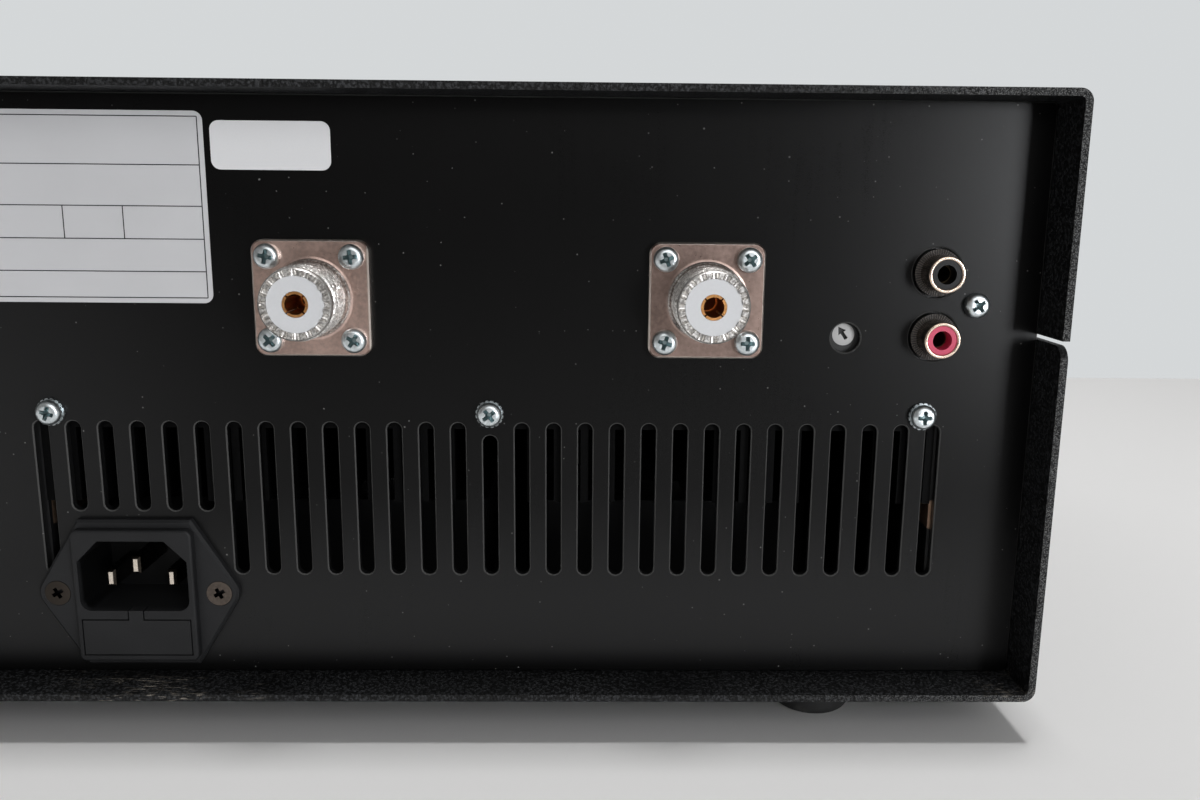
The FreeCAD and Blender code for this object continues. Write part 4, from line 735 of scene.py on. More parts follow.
class AMPLIFIER_OT_covers(DressOperator, bpy.types.Operator):
    """Powder-coats both covers, with pale rim speckle that is part wear and part painted highlight,
    painted glints on the grain, painted light on the inner faces, specks of dust and drifts on the
    lower lip
    """

    bl_idname = "amplifier.covers"
    bl_label = "Covers"

    def execute(self, context):
        look = context.scene.amp_case
        coat = Finish("cover_paint", look.cover, look.cover_roughness)
        x, y, z = (coat.axis(letter) for letter in "XYZ")
        rim = y.ramp(COVER_HIGH[1] - 0.25 * MM, COVER_HIGH[1] - 0.05 * MM)
        inner = self.depth(x, z).ramp(look.sheet - 0.4 * MM, look.sheet - 0.1 * MM) * (1 - rim)
        outer = 1 - inner
        fine = coat.clouds(look.grain, 3.0)
        height = fine * 0.65 + (1 - coat.cells(1.6 * look.grain)) * 0.35
        # Painted highlight: the grain's crests on the outer faces are painted up to fourteen times
        # as light, as glints.
        painted_glints = height.ramp(0.47, 0.60) * coat.clouds(60 * look.grain).scaled(0.4, 1.0)
        # Painted light: the inner faces are painted lighter from 20 mm up, four times as light
        # above 60 mm.
        plain = coat.tones(inner * z.ramp(20 * MM, 60 * MM), look.cover, 1.0, 4.0)
        base = coat.mix(painted_glints * outer, plain, lighter(look.cover, 14.0))
        # Pale speckle on the rear rim, stronger towards the sides: part wear, part painted
        # highlight.
        speckle = coat.clouds(0.30 * MM, 3.0).ramp(0.50, 0.60)
        corner = abs(x).ramp(90 * MM, 160 * MM)
        rim_wear_and_highlight = coat.mix(rim * speckle * corner.scaled(0.03, 0.45), base, (0.24, 0.24, 0.235))
        behind = y.ramp(PANEL_FACE_Y - 1 * MM, PANEL_FACE_Y)
        lip = behind * z.ramp(look.dust_top + 1 * MM, look.dust_top - 1 * MM)
        fluff = coat.clouds(0.42 * MM, 4.0, coat.stretched(6), 0.8).ramp(0.54, 0.68)
        drifts = coat.clouds(7 * MM, 3.0, coat.stretched(2)).ramp(0.40, 0.58)
        heaps = self.heap(x, look.heap_x, 34 * MM) + self.heap(x, COVER_LOW[0], 14 * MM)
        dusty = coat.mix(lip * fluff * heaps * drifts * look.dust * 2, rim_wear_and_highlight, (0.30, 0.27, 0.23))
        dots = coat.specks(5 * MM, 0.22 * MM, 0.25) + lip * coat.specks(2 * MM, 0.16 * MM, 0.3)
        coat.set(colour=coat.mix(dots * look.dust, dusty, (0.5, 0.5, 0.5)),
                 roughness=(fine * outer + inner * 0.5).scaled(look.cover_roughness + 0.12,
                                                               look.cover_roughness - 0.06),
                 specular=0.2)
        coat.bump(height * outer, look.grain_depth).dress("top_cover", "bottom_cover")
        return {"FINISHED"}

    def depth(self, x, z):
        """How far a point lies inside the box round both covers, from its sides, top and floor."""
        return (COVER_HIGH[0] - abs(x)).least((COVER_HIGH[2] - z).least(z - CASE_FLOOR_Z))

    def heap(self, x, middle, reach):
        """1 at a heap's middle, which thins out to 0 at its reach on both sides."""
        return abs(x - middle).ramp(reach, 0.3 * reach)


class AMPLIFIER_OT_rear_panel(DressOperator, bpy.types.Operator):
    """Paints the rear panel satin black, with faint orange peel, dust specks, a painted highlight
    on the cut edges, painted reflection low down and on the high-X side, and painted shade along
    the foot
    """

    bl_idname = "amplifier.rear_panel"
    bl_label = "Rear panel"

    def execute(self, context):
        look = context.scene.amp_case
        paint = Finish("panel_paint", look.panel, look.panel_roughness)
        x, y, z = (paint.axis(letter) for letter in "XYZ")
        peel = paint.clouds(0.9 * MM)
        fine = paint.clouds(0.16 * MM)
        slow = paint.clouds(45 * MM, 3.0)
        drawn = paint.clouds(2.2 * MM, 2.0, paint.stretched(z=14))
        cut = y.ramp(PANEL_FACE_Y - 0.01 * MM, PANEL_FACE_Y - 0.04 * MM)
        # Painted highlight: a pale band just inside the rim of every hole and slot, left off at the
        # foot.
        edge = cut * y.ramp(PANEL_FACE_Y - 0.32 * MM, PANEL_FACE_Y - 0.26 * MM)
        # Painted shade: the panel's lowest 6 mm is painted darker towards its foot, for the shade
        # of the lower lip.
        foot = z.ramp(PANEL_FOOT_Z + 6 * MM, PANEL_FOOT_Z + 0.5 * MM)
        # Painted reflection: the panel is painted lighter below 28 to 62 mm, and on its high-X side
        # below 95 to 125 mm, for the pale surroundings mirrored in the satin paint.
        low_painted_reflection = z.ramp(62 * MM, 28 * MM)
        side_painted_reflection = x.ramp(0.0, 85 * MM) * z.ramp(125 * MM, 95 * MM) * 0.9
        with_painted_reflection = paint.mix(low_painted_reflection.most(side_painted_reflection), look.panel, look.panel_film)
        painted = paint.mix(foot * 0.85, with_painted_reflection, lighter(look.panel, 0.1))
        base = paint.mix(edge * (1 - foot) * 0.8, painted, (0.085, 0.085, 0.083))
        large = paint.specks(6 * MM, 0.26 * MM, 0.14, True)
        small = paint.specks(2.7 * MM, 0.20 * MM, 0.12, True)
        gloss = slow * 0.5 + drawn * 0.15 + fine * 0.35
        paint.set(colour=paint.mix((large + small) * look.dust * 0.55, base, (0.62, 0.62, 0.60)),
                  roughness=gloss.scaled(look.panel_roughness - 0.07, look.panel_roughness + 0.09),
                  specular=0.2)
        paint.bump(peel * 0.6 + fine * 0.4, 0.012 * MM).dress("rear_panel")
        return {"FINISHED"}


class AMPLIFIER_OT_labels(DressOperator, bpy.types.Operator):
    """Gives the stickers a silver and a white face, and rules the silver one into empty rows"""

    bl_idname = "amplifier.labels"
    bl_label = "Labels"

    def execute(self, context):
        look = context.scene.amp_labels
        pale("label_silver", look.silver, 0.5 * MM, 3.0, (0.93, 1.07), (0.36, 0.5), 0.008 * MM,
             slow=22 * MM, metallic=0.08).dress("rating_label")
        pale("label_white", look.white, 0.35 * MM, 3.0, (0.97, 1.02), (0.45, 0.58),
             0.01 * MM).dress("blank_label")
        ink = moulded("label_ink", (0.012, 0.012, 0.014), 0.45)
        printed("rating_label_rules", self.rules(look), (0, box_of("rating_label")[1][1], 0),
                0.03 * MM, ink, "case", facing=1)
        return {"FINISHED"}

    def rules(self, look):
        """A border, four lines across and three short uprights that part the third row."""
        low, high = box_of("rating_label")
        x = (low[0] + look.inset, high[0] - look.inset)
        z = (low[2] + look.inset, high[2] - look.inset)
        rows = [high[2] - (high[2] - low[2]) * part for part in look.rows]
        lines = [bar((x[0], level), (x[1], level), look.line) for level in (*z, *rows)]
        lines += [bar((side, z[0]), (side, z[1]), look.line) for side in x]
        return lines + [bar((low[0] + place, rows[2]), (low[0] + place, rows[1]), look.line)
                        for place in look.uprights]


class AMPLIFIER_OT_fasteners(DressOperator, bpy.types.Operator):
    """Plates the screws and washers, and blackens the ones in the covers and feet"""

    bl_idname = "amplifier.fasteners"
    bl_label = "Fasteners"

    def execute(self, context):
        look = context.scene.amp_connectors
        for node in ("panel_screws", "grille_screws"):
            zinc = plated(f"zinc_{node}", look.zinc, 0.30, 0.9 * MM, 0.012 * MM)
            self.grimy_recess(zinc, node, look, look.grime)
        # Painted shade: the washers are zinc at 0.42 of its lightness, for the shade under the
        # screw heads.
        plated("zinc_washer", lighter(look.zinc, 0.42), 0.3, 0.6 * MM).dress("lock_washers")
        plated("black_screw", (0.03, 0.03, 0.032), 0.36).dress("cover_screws", "foot_screws")
        bronze = plated("bronze_screw", (0.125, 0.103, 0.088), 0.34, 0.7 * MM)
        far = bronze.axis("X").ramp(middle_of("inlet_screws")[0], box_of("inlet_screws")[1][0])
        bronze.stain(far, (0.045, 0.038, 0.032))
        self.grimy_recess(bronze, "inlet_screws", look, (0.012, 0.012, 0.013))
        return {"FINISHED"}

    def grimy_recess(self, metal, node, look, film):
        """Paints shade into each head's driver recess: within its reach of a screw's axis and
        deeper than a hair below that screw's top. The square of the distance from the axis is that
        from a point on it less the square of the point's height over the surface."""
        dark = 0.0
        reach, depth = look.recess_reach, look.recess_depth
        for x, top, z in self.heads(node, look):
            off = metal.node("VectorMath", {"operation": "DISTANCE"},
                             {0: metal.place, 1: (x, top - reach, z)}, "Value")
            level = top - metal.axis("Y")
            over = reach - level
            within = (off * off - over * over).ramp(1.1 * reach ** 2, reach ** 2)
            below = level.ramp(0.10 * MM, 0.3 * MM) * level.ramp(depth + 0.1 * MM, depth)
            dark = within * below + dark
        metal.stain(dark, film).dress(node)

    def heads(self, node, look):
        """The axis and top of every screw in a node: its solid's box, from groups of points that
        lie within a head's width of each other."""
        data = frame["nodes"][node].data
        points = np.empty(3 * len(data.vertices))
        data.vertices.foreach_get("co", points)
        points = points.reshape(-1, 3)
        while len(points):
            near = np.hypot(*(points[:, ::2] - points[0, ::2]).T) < look.head_width
            low, high = points[near].min(axis=0), points[near].max(axis=0)
            yield (low[0] + high[0]) / 2, high[1], (low[2] + high[2]) / 2
            points = points[~near]


class AMPLIFIER_OT_rf_sockets(DressOperator, bpy.types.Operator):
    """Nickel shells with dull flanges and rough bright barrels, white insulators, gold contacts"""

    bl_idname = "amplifier.rf_sockets"
    bl_label = "RF sockets"

    def execute(self, context):
        look = context.scene.amp_connectors
        self.shells(look)
        pale("ptfe", look.insulator, 0.6 * MM, 2.0, (0.96, 1.03), (0.32, 0.46),
             0.008 * MM).dress("socket_insulators")
        gold = plated("gold_contact", look.gold, 0.3, 0.5 * MM, 0.015 * MM)
        across, rise, half = self.from_axis(gold, "socket_contacts")
        # Painted shade: the inside of each contact's hole is painted dark brown.
        shaded_bore = across.distance(rise).ramp(half - 0.7 * MM, half - 0.8 * MM)
        gold.stain(shaded_bore, (0.055, 0.022, 0.010)).dress("socket_contacts")
        return {"FINISHED"}

    def shells(self, look):
        """Stained flanges with a painted highlight round the rim, the one at high X paler, and
        bright cast barrels whose nose crest is painted darker, as painted shade, and made rougher."""
        shell = Finish("nickel_shell", look.nickel, 0.3, 1.0)
        y = shell.axis("Y")
        across, rise, half = self.from_axis(shell, "socket_shells")
        cast = shell.clouds(0.5 * MM, 3.0)
        stain = shell.clouds(5 * MM, 3.0, shell.stretched(z=1.6))
        mottle = (stain * 0.6 + shell.clouds(0.9 * MM, 3.0) * 0.4).ramp(0.30, 0.70)
        warm = (look.nickel[0], 0.81 * look.nickel[1], 0.77 * look.nickel[2])
        middle_x = middle_of("socket_shells")[0]
        paler = shell.axis("X").ramp(middle_x - 1 * MM, middle_x + 1 * MM)
        tone = shell.mix(mottle, shell.tones(paler, warm, 0.50, 0.90),
                         shell.tones(paler, warm, 0.86, 1.45))
        # Painted highlight: a band round each flange's rim is painted 1.9 times as light as the
        # nickel.
        rim = abs(across).most(abs(rise)).ramp(half - look.bright_rim, half - 0.6 * look.bright_rim)
        with_rim_highlight = shell.mix(rim, tone, lighter(look.nickel, 1.9))
        bright = shell.mix(cast.ramp(0.35, 0.65), (0.42, 0.40, 0.385), (0.93, 0.91, 0.88))
        tip_y = box_of("socket_shells")[1][1]
        nose = y.ramp(tip_y - 1.3 * MM, tip_y - 0.9 * MM)
        crest = across.distance(rise).ramp(look.barrel_crest, look.barrel_crest + 0.2 * MM)
        # Painted shade: the nose's crest is painted dark grey and made rougher.
        shaded = nose * crest
        turned = shell.mix(shaded * 0.9, bright, (0.30, 0.285, 0.27))
        barrel = y.ramp(PANEL_FACE_Y + look.flange, PANEL_FACE_Y + look.flange + 0.4 * MM)
        shell.set(colour=shell.mix(barrel, with_rim_highlight, turned),
                  roughness=cast.scaled(0.22, 0.42) + shaded * 0.25)
        crumbs = shell.cells(0.75 * MM)
        rough = barrel * (1 - 0.75 * nose)
        relief = cast * 0.12 * (1 - barrel) + (cast * 0.6 + crumbs * 0.6) * rough
        shell.bump(relief, 0.14 * MM).dress("socket_shells")

    def from_axis(self, finish, node):
        """How far a point is across and up from the nearer socket's axis, and the half height of
        the node. Both sockets share one measure: the distance across from the plane midway
        between them, less half their spacing."""
        low, high = box_of(node)
        middle = middle_of(node)
        half = (high[2] - low[2]) / 2
        across = abs(finish.axis("X") - middle[0]) - ((high[0] - low[0]) / 2 - half)
        return across, finish.axis("Z") - middle[2], half


class AMPLIFIER_OT_phono_sockets(DressOperator, bpy.types.Operator):
    """Dark nickel sleeves round a black and a red core, their moulded block and the trimmer with
    painted shade in its slot
    """

    bl_idname = "amplifier.phono_sockets"
    bl_label = "Phono sockets and trimmer"

    def execute(self, context):
        look = context.scene.amp_connectors
        sleeve = plated("phono_nickel", look.nickel, 0.2, 0.9 * MM, 0.006 * MM, (1, 6, 1))
        tip_y = box_of("phono_shells")[1][1]
        tip = sleeve.axis("Y").ramp(tip_y - 1.1 * MM, tip_y - 0.7 * MM)
        side = sleeve.clouds(0.5 * MM, 3.0, sleeve.stretched(y=7)).ramp(0.35, 0.65)
        dull = sleeve.mix(side, (0.06, 0.048, 0.040), (0.36, 0.30, 0.25))
        sleeve.set(colour=sleeve.mix(tip, dull, (0.80, 0.64, 0.52))).dress("phono_shells")
        plated("phono_spring", (0.10, 0.075, 0.045), 0.4).dress("phono_contacts")
        moulded("phono_plastic", look.black_plastic, 0.4, specular=0.25).dress("phono_insert_black")
        self.ribbed_collars(look)
        moulded("phono_red", look.red_core, 0.42).dress("phono_insert_red")
        moulded("trimmer_black", look.black_plastic, 0.45).dress("trimmer_body")
        rotor = moulded("trimmer_grey", (0.46, 0.455, 0.45), 0.45, 0.3 * MM, 0.02 * MM)
        face = box_of("trimmer_rotor")[1][1]
        # Painted shade: the bottom of the rotor's slot is painted black.
        slot = rotor.axis("Y").ramp(face - 0.1 * MM, face - 0.2 * MM)
        rotor.stain(slot, (0.012, 0.012, 0.012)).dress("trimmer_rotor")
        return {"FINISHED"}

    def ribbed_collars(self, look):
        """The block behind both sockets. Each collar has ribs round it: a sine of their number
        times the angle about the nearer socket's axis, and brown crests."""
        block = Finish("phono_block_plastic", look.black_plastic, 0.42)
        low, high = box_of("phono_shells")
        middle = middle_of("phono_shells")
        radius = (high[0] - low[0]) / 2
        across = block.axis("X") - middle[0]
        rise = abs(block.axis("Z") - middle[2]) - ((high[2] - low[2]) / 2 - radius)
        ribs = (rise.turn(across) * look.ribs).sine() * 0.5 + 0.5
        outside = block.axis("Y").ramp(PANEL_FACE_Y, PANEL_FACE_Y + 0.1 * MM)
        fine = block.clouds(0.3 * MM)
        block.set(colour=block.mix(outside * ribs * fine, look.black_plastic, (0.16, 0.13, 0.11)),
                  roughness=fine.scaled(0.34, 0.52))
        block.bump(outside * ribs + fine * 0.05, 0.12 * MM).dress("phono_block")


class AMPLIFIER_OT_mains_inlet(DressOperator, bpy.types.Operator):
    """Matt black inlet and fuse drawer with painted shade in the plug's opening, blades with a
    painted highlight on their tips and painted shade on their sides, fuses with plated caps
    """

    bl_idname = "amplifier.mains_inlet"
    bl_label = "Mains inlet"

    def execute(self, context):
        look = context.scene.amp_connectors
        body = lighter(look.black_plastic, 2.7)
        housing = moulded("inlet_plastic", body, 0.48, 0.35 * MM, 0.03 * MM, specular=0.24)
        # Painted shade: deep in the plug's opening the housing is painted near black.
        housing.stain(self.mouth(housing, look), (0.002, 0.002, 0.0022)).dress("inlet_housing")
        moulded("drawer_plastic", body, 0.44, 0.35 * MM, 0.025 * MM,
                specular=0.24).dress("fuse_drawer")
        blade = plated("blade_metal", (0.80, 0.72, 0.62), 0.24, 0.8 * MM, 0.01 * MM, (1, 8, 1))
        tip_y = box_of("inlet_pins")[1][1]
        outer = abs(blade.axis("X") - middle_of("inlet_pins")[0]).ramp(3 * MM, 4 * MM)
        reach = blade.axis("Y") + outer * look.earth_lead
        # Painted light: only the flat front of each blade keeps the pale metal, as a painted
        # highlight; its sides and bevels are painted in shade.
        tip = reach.ramp(tip_y - 0.08 * MM, tip_y - 0.02 * MM)
        side = blade.clouds(0.6 * MM, 3.0, blade.stretched(y=5))
        dull = blade.mix(side, (0.02, 0.017, 0.014), (0.07, 0.06, 0.05))
        blade.set(colour=blade.mix(tip, dull, (0.85, 0.76, 0.66))).dress("inlet_pins")
        self.fuses(look)
        return {"FINISHED"}

    def mouth(self, housing, look):
        """Where the plug's opening is painted in shade: 1 deep in it, below the face, between the
        sides and from the opening's foot to its head."""
        low, high = box_of("inlet_housing")
        across = abs(housing.axis("X") - middle_of("inlet_housing")[0])
        deep = housing.axis("Y").ramp(high[1] - 0.6 * MM, high[1] - 2.4 * MM)
        foot, head = low[2] + look.mouth_foot, high[2] - look.mouth_head
        above = housing.axis("Z").ramp(foot, foot + 0.4 * MM)
        below = housing.axis("Z").ramp(head, head - 0.6 * MM)
        return across.ramp(look.mouth_half + 0.3 * MM, look.mouth_half) * deep * above * below

    def fuses(self, look):
        """Plated caps where a fuse's ends are, and pale glass between them."""
        fuse = Finish("fuse_glass", (0.62, 0.66, 0.66), 0.08)
        ends = abs(fuse.axis("X") - middle_of("fuses")[0])
        cap = ends.ramp(look.fuse_glass, look.fuse_glass + 0.1 * MM)
        tone = fuse.clouds(0.5 * MM)
        glass = fuse.mix(tone, (0.42, 0.46, 0.46), (0.66, 0.7, 0.7))
        fuse.set(colour=fuse.mix(cap, glass, (0.66, 0.65, 0.62)), metallic=cap,
                 roughness=tone.scaled(0.06, 0.2) + cap * 0.12)
        fuse.bump(tone, 0.008 * MM).dress("fuses")


class AMPLIFIER_OT_feet(DressOperator, bpy.types.Operator):
    """Black rubber feet with scuffed edges"""

    bl_idname = "amplifier.feet"
    bl_label = "Feet"

    def execute(self, context):
        black = (0.011, 0.011, 0.011)
        rubber = Finish("foot_rubber", black, 0.7)
        crumb = rubber.clouds(0.3 * MM, 3.0)
        scuff = rubber.clouds(3 * MM, 3.0).ramp(0.55, 0.75) * rubber.axis("Z").ramp(4 * MM, 0)
        rubber.set(colour=rubber.mix(scuff * 0.7, black, (0.05, 0.048, 0.045)),
                   roughness=crumb.scaled(0.6, 0.8))
        rubber.bump(crumb, 0.04 * MM).dress("feet")
        return {"FINISHED"}


class AMPLIFIER_OT_heatsink(DressOperator, bpy.types.Operator):
    """Black anodised fins with drawn lines, painted darker as shade, painted brackets with a patch
    of painted light, and plain rails
    """

    bl_idname = "amplifier.heatsink"
    bl_label = "Heatsink"

    def execute(self, context):
        # Painted shade: the fins are coloured darker than black anodising, for the shade behind the
        # slots.
        fins = Finish("heatsink_black", (0.004, 0.004, 0.0042), 0.55)
        lines = fins.clouds(0.35 * MM, 3.0, fins.stretched(y=40))
        slow = fins.clouds(18 * MM)
        fins.set(colour=fins.mix(lines.ramp(0.35, 0.7), (0.0008, 0.0008, 0.0009),
                                 (0.0022, 0.0022, 0.0024)),
                 roughness=(lines * 0.6 + slow * 0.4).scaled(0.45, 0.65), specular=0.06)
        fins.bump(lines, 0.03 * MM).dress("heatsink")
        self.brackets(context.scene.amp_inside)
        steel = plated("rail_steel", (0.52, 0.53, 0.53), 0.34, 3 * MM, 0.02 * MM, (1, 14, 1))
        steel.dress("side_rails")
        return {"FINISHED"}

    def brackets(self, look):
        """Black paint, with a coppery patch of painted light across the middle of each bracket. The
        black is whole on the front of the one at high X."""
        plate = Finish("bracket_plate", (0.004, 0.004, 0.0045), 0.5)
        drawn = plate.clouds(2.4 * MM, 3.0, plate.stretched(y=9))
        ragged = plate.axis("Z") + plate.clouds(1.2 * MM, 3.0) * 1.5 * MM
        patch = plate.band(ragged, look.patch_z, look.patch_half, 0.4 * MM)
        high = box_of("heatsink_brackets")[1]
        front = plate.axis("Y").ramp(high[1] - 1.5 * MM, high[1] - 1.2 * MM)
        far = plate.axis("X").ramp(middle_of("heatsink_brackets")[0], high[0] - 12 * MM)
        # Painted light: a coppery, partly metallic band across each bracket where light falls
        # through the slots.
        lit = patch * (1 - front * far)
        copper = plate.mix(drawn, (0.33, 0.20, 0.13), (0.60, 0.42, 0.31))
        paint = plate.mix(drawn, (0.003, 0.003, 0.0034), (0.007, 0.007, 0.0075))
        plate.set(colour=plate.mix(lit, paint, copper), metallic=lit * 0.85,
                  roughness=drawn.scaled(0.34, 0.6))
        plate.bump(drawn, 0.02 * MM).dress("heatsink_brackets")


class AMPLIFIER_OT_fans(DressOperator, bpy.types.Operator):
    """Black fan frames and rotors with dust on the blades"""

    bl_idname = "amplifier.fans"
    bl_label = "Fans"

    def execute(self, context):
        frames = moulded("fan_frame_plastic", (0.012, 0.012, 0.013), 0.38, 0.4 * MM, 0.02 * MM)
        frames.dress("fan_frames")
        blades = Finish("fan_blade_plastic", (0.013, 0.013, 0.014), 0.34)
        film = blades.clouds(3.5 * MM, 4.0).ramp(0.4, 0.75)
        blades.set(colour=blades.mix(film * 0.35, (0.012, 0.012, 0.013), (0.09, 0.085, 0.08)),
                   roughness=film.scaled(0.3, 0.6))
        blades.bump(blades.clouds(0.3 * MM), 0.012 * MM).dress("fan_rotor_a", "fan_rotor_b")
        return {"FINISHED"}


class AMPLIFIER_OT_boards(DressOperator, bpy.types.Operator):
    """Circuit boards and what stands on them, with wire wound round every ring core"""

    bl_idname = "amplifier.boards"
    bl_label = "Boards"

    def execute(self, context):
        look = context.scene.amp_inside
        circuit_board("board_green", look.board, "z").dress("rf_board", "filter_board")
        circuit_board("board_upright", look.board, "y").dress("control_board")
        circuit_board("board_side", look.board, "x").dress("supply_board")
        self.transistors(look)
        ferrite = moulded("ferrite", (0.028, 0.026, 0.026), 0.5, 0.5 * MM, 0.05 * MM)
        ferrite.dress("rf_transformers")
        rings = moulded("toroid_paint", (0.32, 0.030, 0.022), 0.4, 0.6 * MM, 0.03 * MM)
        rings.dress("filter_toroids")
        moulded("relay_plastic", (0.015, 0.03, 0.075), 0.32).dress("relays")
        plated("post_brass", (0.62, 0.50, 0.24), 0.28, 1.5 * MM).dress("board_posts")
        enamel = plated("winding_enamel", look.copper, 0.26, 0.7 * MM, 0.01 * MM)
        self.ring_windings(look, enamel)
        self.transformer_loops(look, enamel)
        return {"FINISHED"}

    def transistors(self, look):
        """Gold flanges at the foot and a white ceramic lid above."""
        ceramic = (0.62, 0.61, 0.57)
        part = Finish("transistor_ceramic", ceramic, 0.5)
        top = box_of("rf_transistors")[0][2] + look.flange_top
        lid = part.axis("Z").ramp(top, top + 0.07 * MM)
        grain = part.clouds(0.3 * MM)
        part.set(colour=part.mix(lid, (0.72, 0.50, 0.20), ceramic), metallic=1 - lid,
                 roughness=grain.scaled(0.24, 0.36) + lid * 0.2)
        part.bump(grain, 0.01 * MM).dress("rf_transistors")

    def ring_windings(self, look, enamel):
        """Wire round each ring: the angle round the ring grows evenly with the angle round its
        section, whose outline is a squared circle, so that the turns hug the ring's corners."""
        low, high = box_of("filter_toroids")
        columns, rows, squareness = 6, 2, 0.45
        start, sweep = 25, 310
        xs = np.linspace(low[0] + look.ring_outer, high[0] - look.ring_outer, columns)
        ys = np.linspace(low[1] + look.ring_outer, high[1] - look.ring_outer, rows)
        turn = np.linspace(0, 2 * math.pi * look.turns, 26 * look.turns)
        lean = np.radians(start) + turn / look.turns * (sweep / 360)
        depth = look.ring_outer - look.ring_middle + look.wire
        out = look.ring_middle + depth * squared(np.cos(turn), squareness)
        half = (high[2] - low[2]) / 2 + 0.5 * look.wire
        rise = low[2] + half + half * squared(np.sin(turn), squareness)
        coil = np.stack([out * np.cos(lean), out * np.sin(lean), rise], axis=-1)
        for place, (x, y) in enumerate((x, y) for x in xs for y in ys):
            wire(f"ring_winding_{place + 1}", coil + np.array([x, y, 0.0]), look.wire, 7, enamel)

    def transformer_loops(self, look, enamel):
        """Turns through both holes of each ferrite block: x is the reach times the squared-up
        cosine of the turn's angle, y a quarter of the block's width times its squared-up sine,
        and z grows evenly."""
        low, high = box_of("rf_transformers")
        middle = middle_of("rf_transformers")
        width = look.block_width
        turn = np.linspace(0, 2 * math.pi * look.loop_turns, 220)
        reach = (high[0] - low[0]) / 2 + look.loop_reach
        x = middle[0] + reach * squared(np.cos(turn), 0.6)
        rise = middle[2] + (turn / turn[-1] - 0.5) * look.loop_climb
        for place, y in enumerate((low[1] + width / 2, high[1] - width / 2)):
            across = y + width / 4 * squared(np.sin(turn), 0.35)
            wire(f"transformer_loop_{place + 1}", np.stack([x, across, rise], axis=-1),
                 1.5 * look.wire, 9, enamel)


class AMPLIFIER_OT_power_supply(DressOperator, bpy.types.Operator):
    """Laminated core with a taped winding, sleeved capacitors with bare tops, and the bridge"""

    bl_idname = "amplifier.power_supply"
    bl_label = "Power supply"

    def execute(self, context):
        core = Finish("winding_tape", (0.42, 0.29, 0.05), 0.42)
        sheets = core.clouds(0.5 * MM, 1.0, core.stretched(z=60)).ramp(0.4, 0.6)
        wrap = core.clouds(0.8 * MM, 2.0, core.stretched(z=12))
        iron = core.mix(sheets, (0.035, 0.036, 0.04), (0.075, 0.076, 0.08))
        yellow = core.mix(wrap, (0.36, 0.24, 0.035), (0.50, 0.35, 0.06))
        core.set(colour=core.mix(self.taped(core, context.scene.amp_inside), iron, yellow),
                 roughness=wrap.scaled(0.3, 0.5))
        core.bump(sheets * 0.4 + wrap * 0.5, 0.05 * MM).dress("mains_transformer")
        sleeve = Finish("capacitor_sleeve", (0.012, 0.016, 0.05), 0.28)
        top_x = box_of("bulk_capacitors")[0][0]
        lid = sleeve.axis("X").ramp(top_x + 0.3 * MM, top_x + 0.1 * MM)
        skin = sleeve.clouds(1.5 * MM, 2.0, sleeve.stretched(9))
        film = sleeve.mix(skin, (0.010, 0.014, 0.045), (0.016, 0.022, 0.065))
        sleeve.set(colour=sleeve.mix(lid, film, (0.60, 0.60, 0.60)), metallic=lid,
                   roughness=skin.scaled(0.22, 0.36))
        sleeve.bump(skin, 0.02 * MM).dress("bulk_capacitors")
        moulded("bridge_plastic", (0.014, 0.014, 0.015), 0.42).dress("rectifier")
        return {"FINISHED"}

    def taped(self, core, look):
        """1 within the winding's block, which is narrower and lower than the iron, and where it
        stands proud of the iron."""
        low_x = box_of("mains_transformer")[0][0]
        middle = middle_of("mains_transformer")
        z = core.axis("Z")
        narrow = core.band(core.axis("Y"), middle[1], look.tape_half_y, 0.05 * MM)
        shallow = core.band(z, middle[2], look.tape_half_z, 0.05 * MM)
        side = abs(z - middle[2]).ramp(look.tape_half_z - 0.3 * MM, look.tape_half_z - 0.25 * MM)
        proud_x = low_x + look.tape_proud
        proud = core.axis("X").ramp(proud_x + 0.05 * MM, proud_x)
        return proud.most(narrow * shallow * side)


class AMPLIFIER_OT_front_panel(DressOperator, bpy.types.Operator):
    """Fascia with a fine drawn grain, and the pan behind it in the rear panel's colour"""

    bl_idname = "amplifier.front_panel"
    bl_label = "Front panel"

    def execute(self, context):
        look = context.scene.amp_case
        fascia = Finish("fascia_paint", look.fascia, 0.36)
        brushed = fascia.clouds(0.22 * MM, 3.0, fascia.stretched(45))
        slow = fascia.clouds(30 * MM)
        dots = fascia.specks(8 * MM, 0.16 * MM, 0.2)
        base = fascia.tones(brushed.ramp(0.3, 0.7), look.fascia, 0.75, 1.5)
        fascia.set(colour=fascia.mix(dots * look.dust, base, (0.45, 0.45, 0.44)), metallic=0.4,
                   roughness=(brushed * 0.6 + slow * 0.4).scaled(0.28, 0.46))
        fascia.bump(brushed, 0.015 * MM).dress("front_fascia")
        pan = moulded("pan_paint", look.panel, look.panel_roughness, 0.5 * MM, 0.01 * MM)
        pan.dress("front_panel")
        return {"FINISHED"}


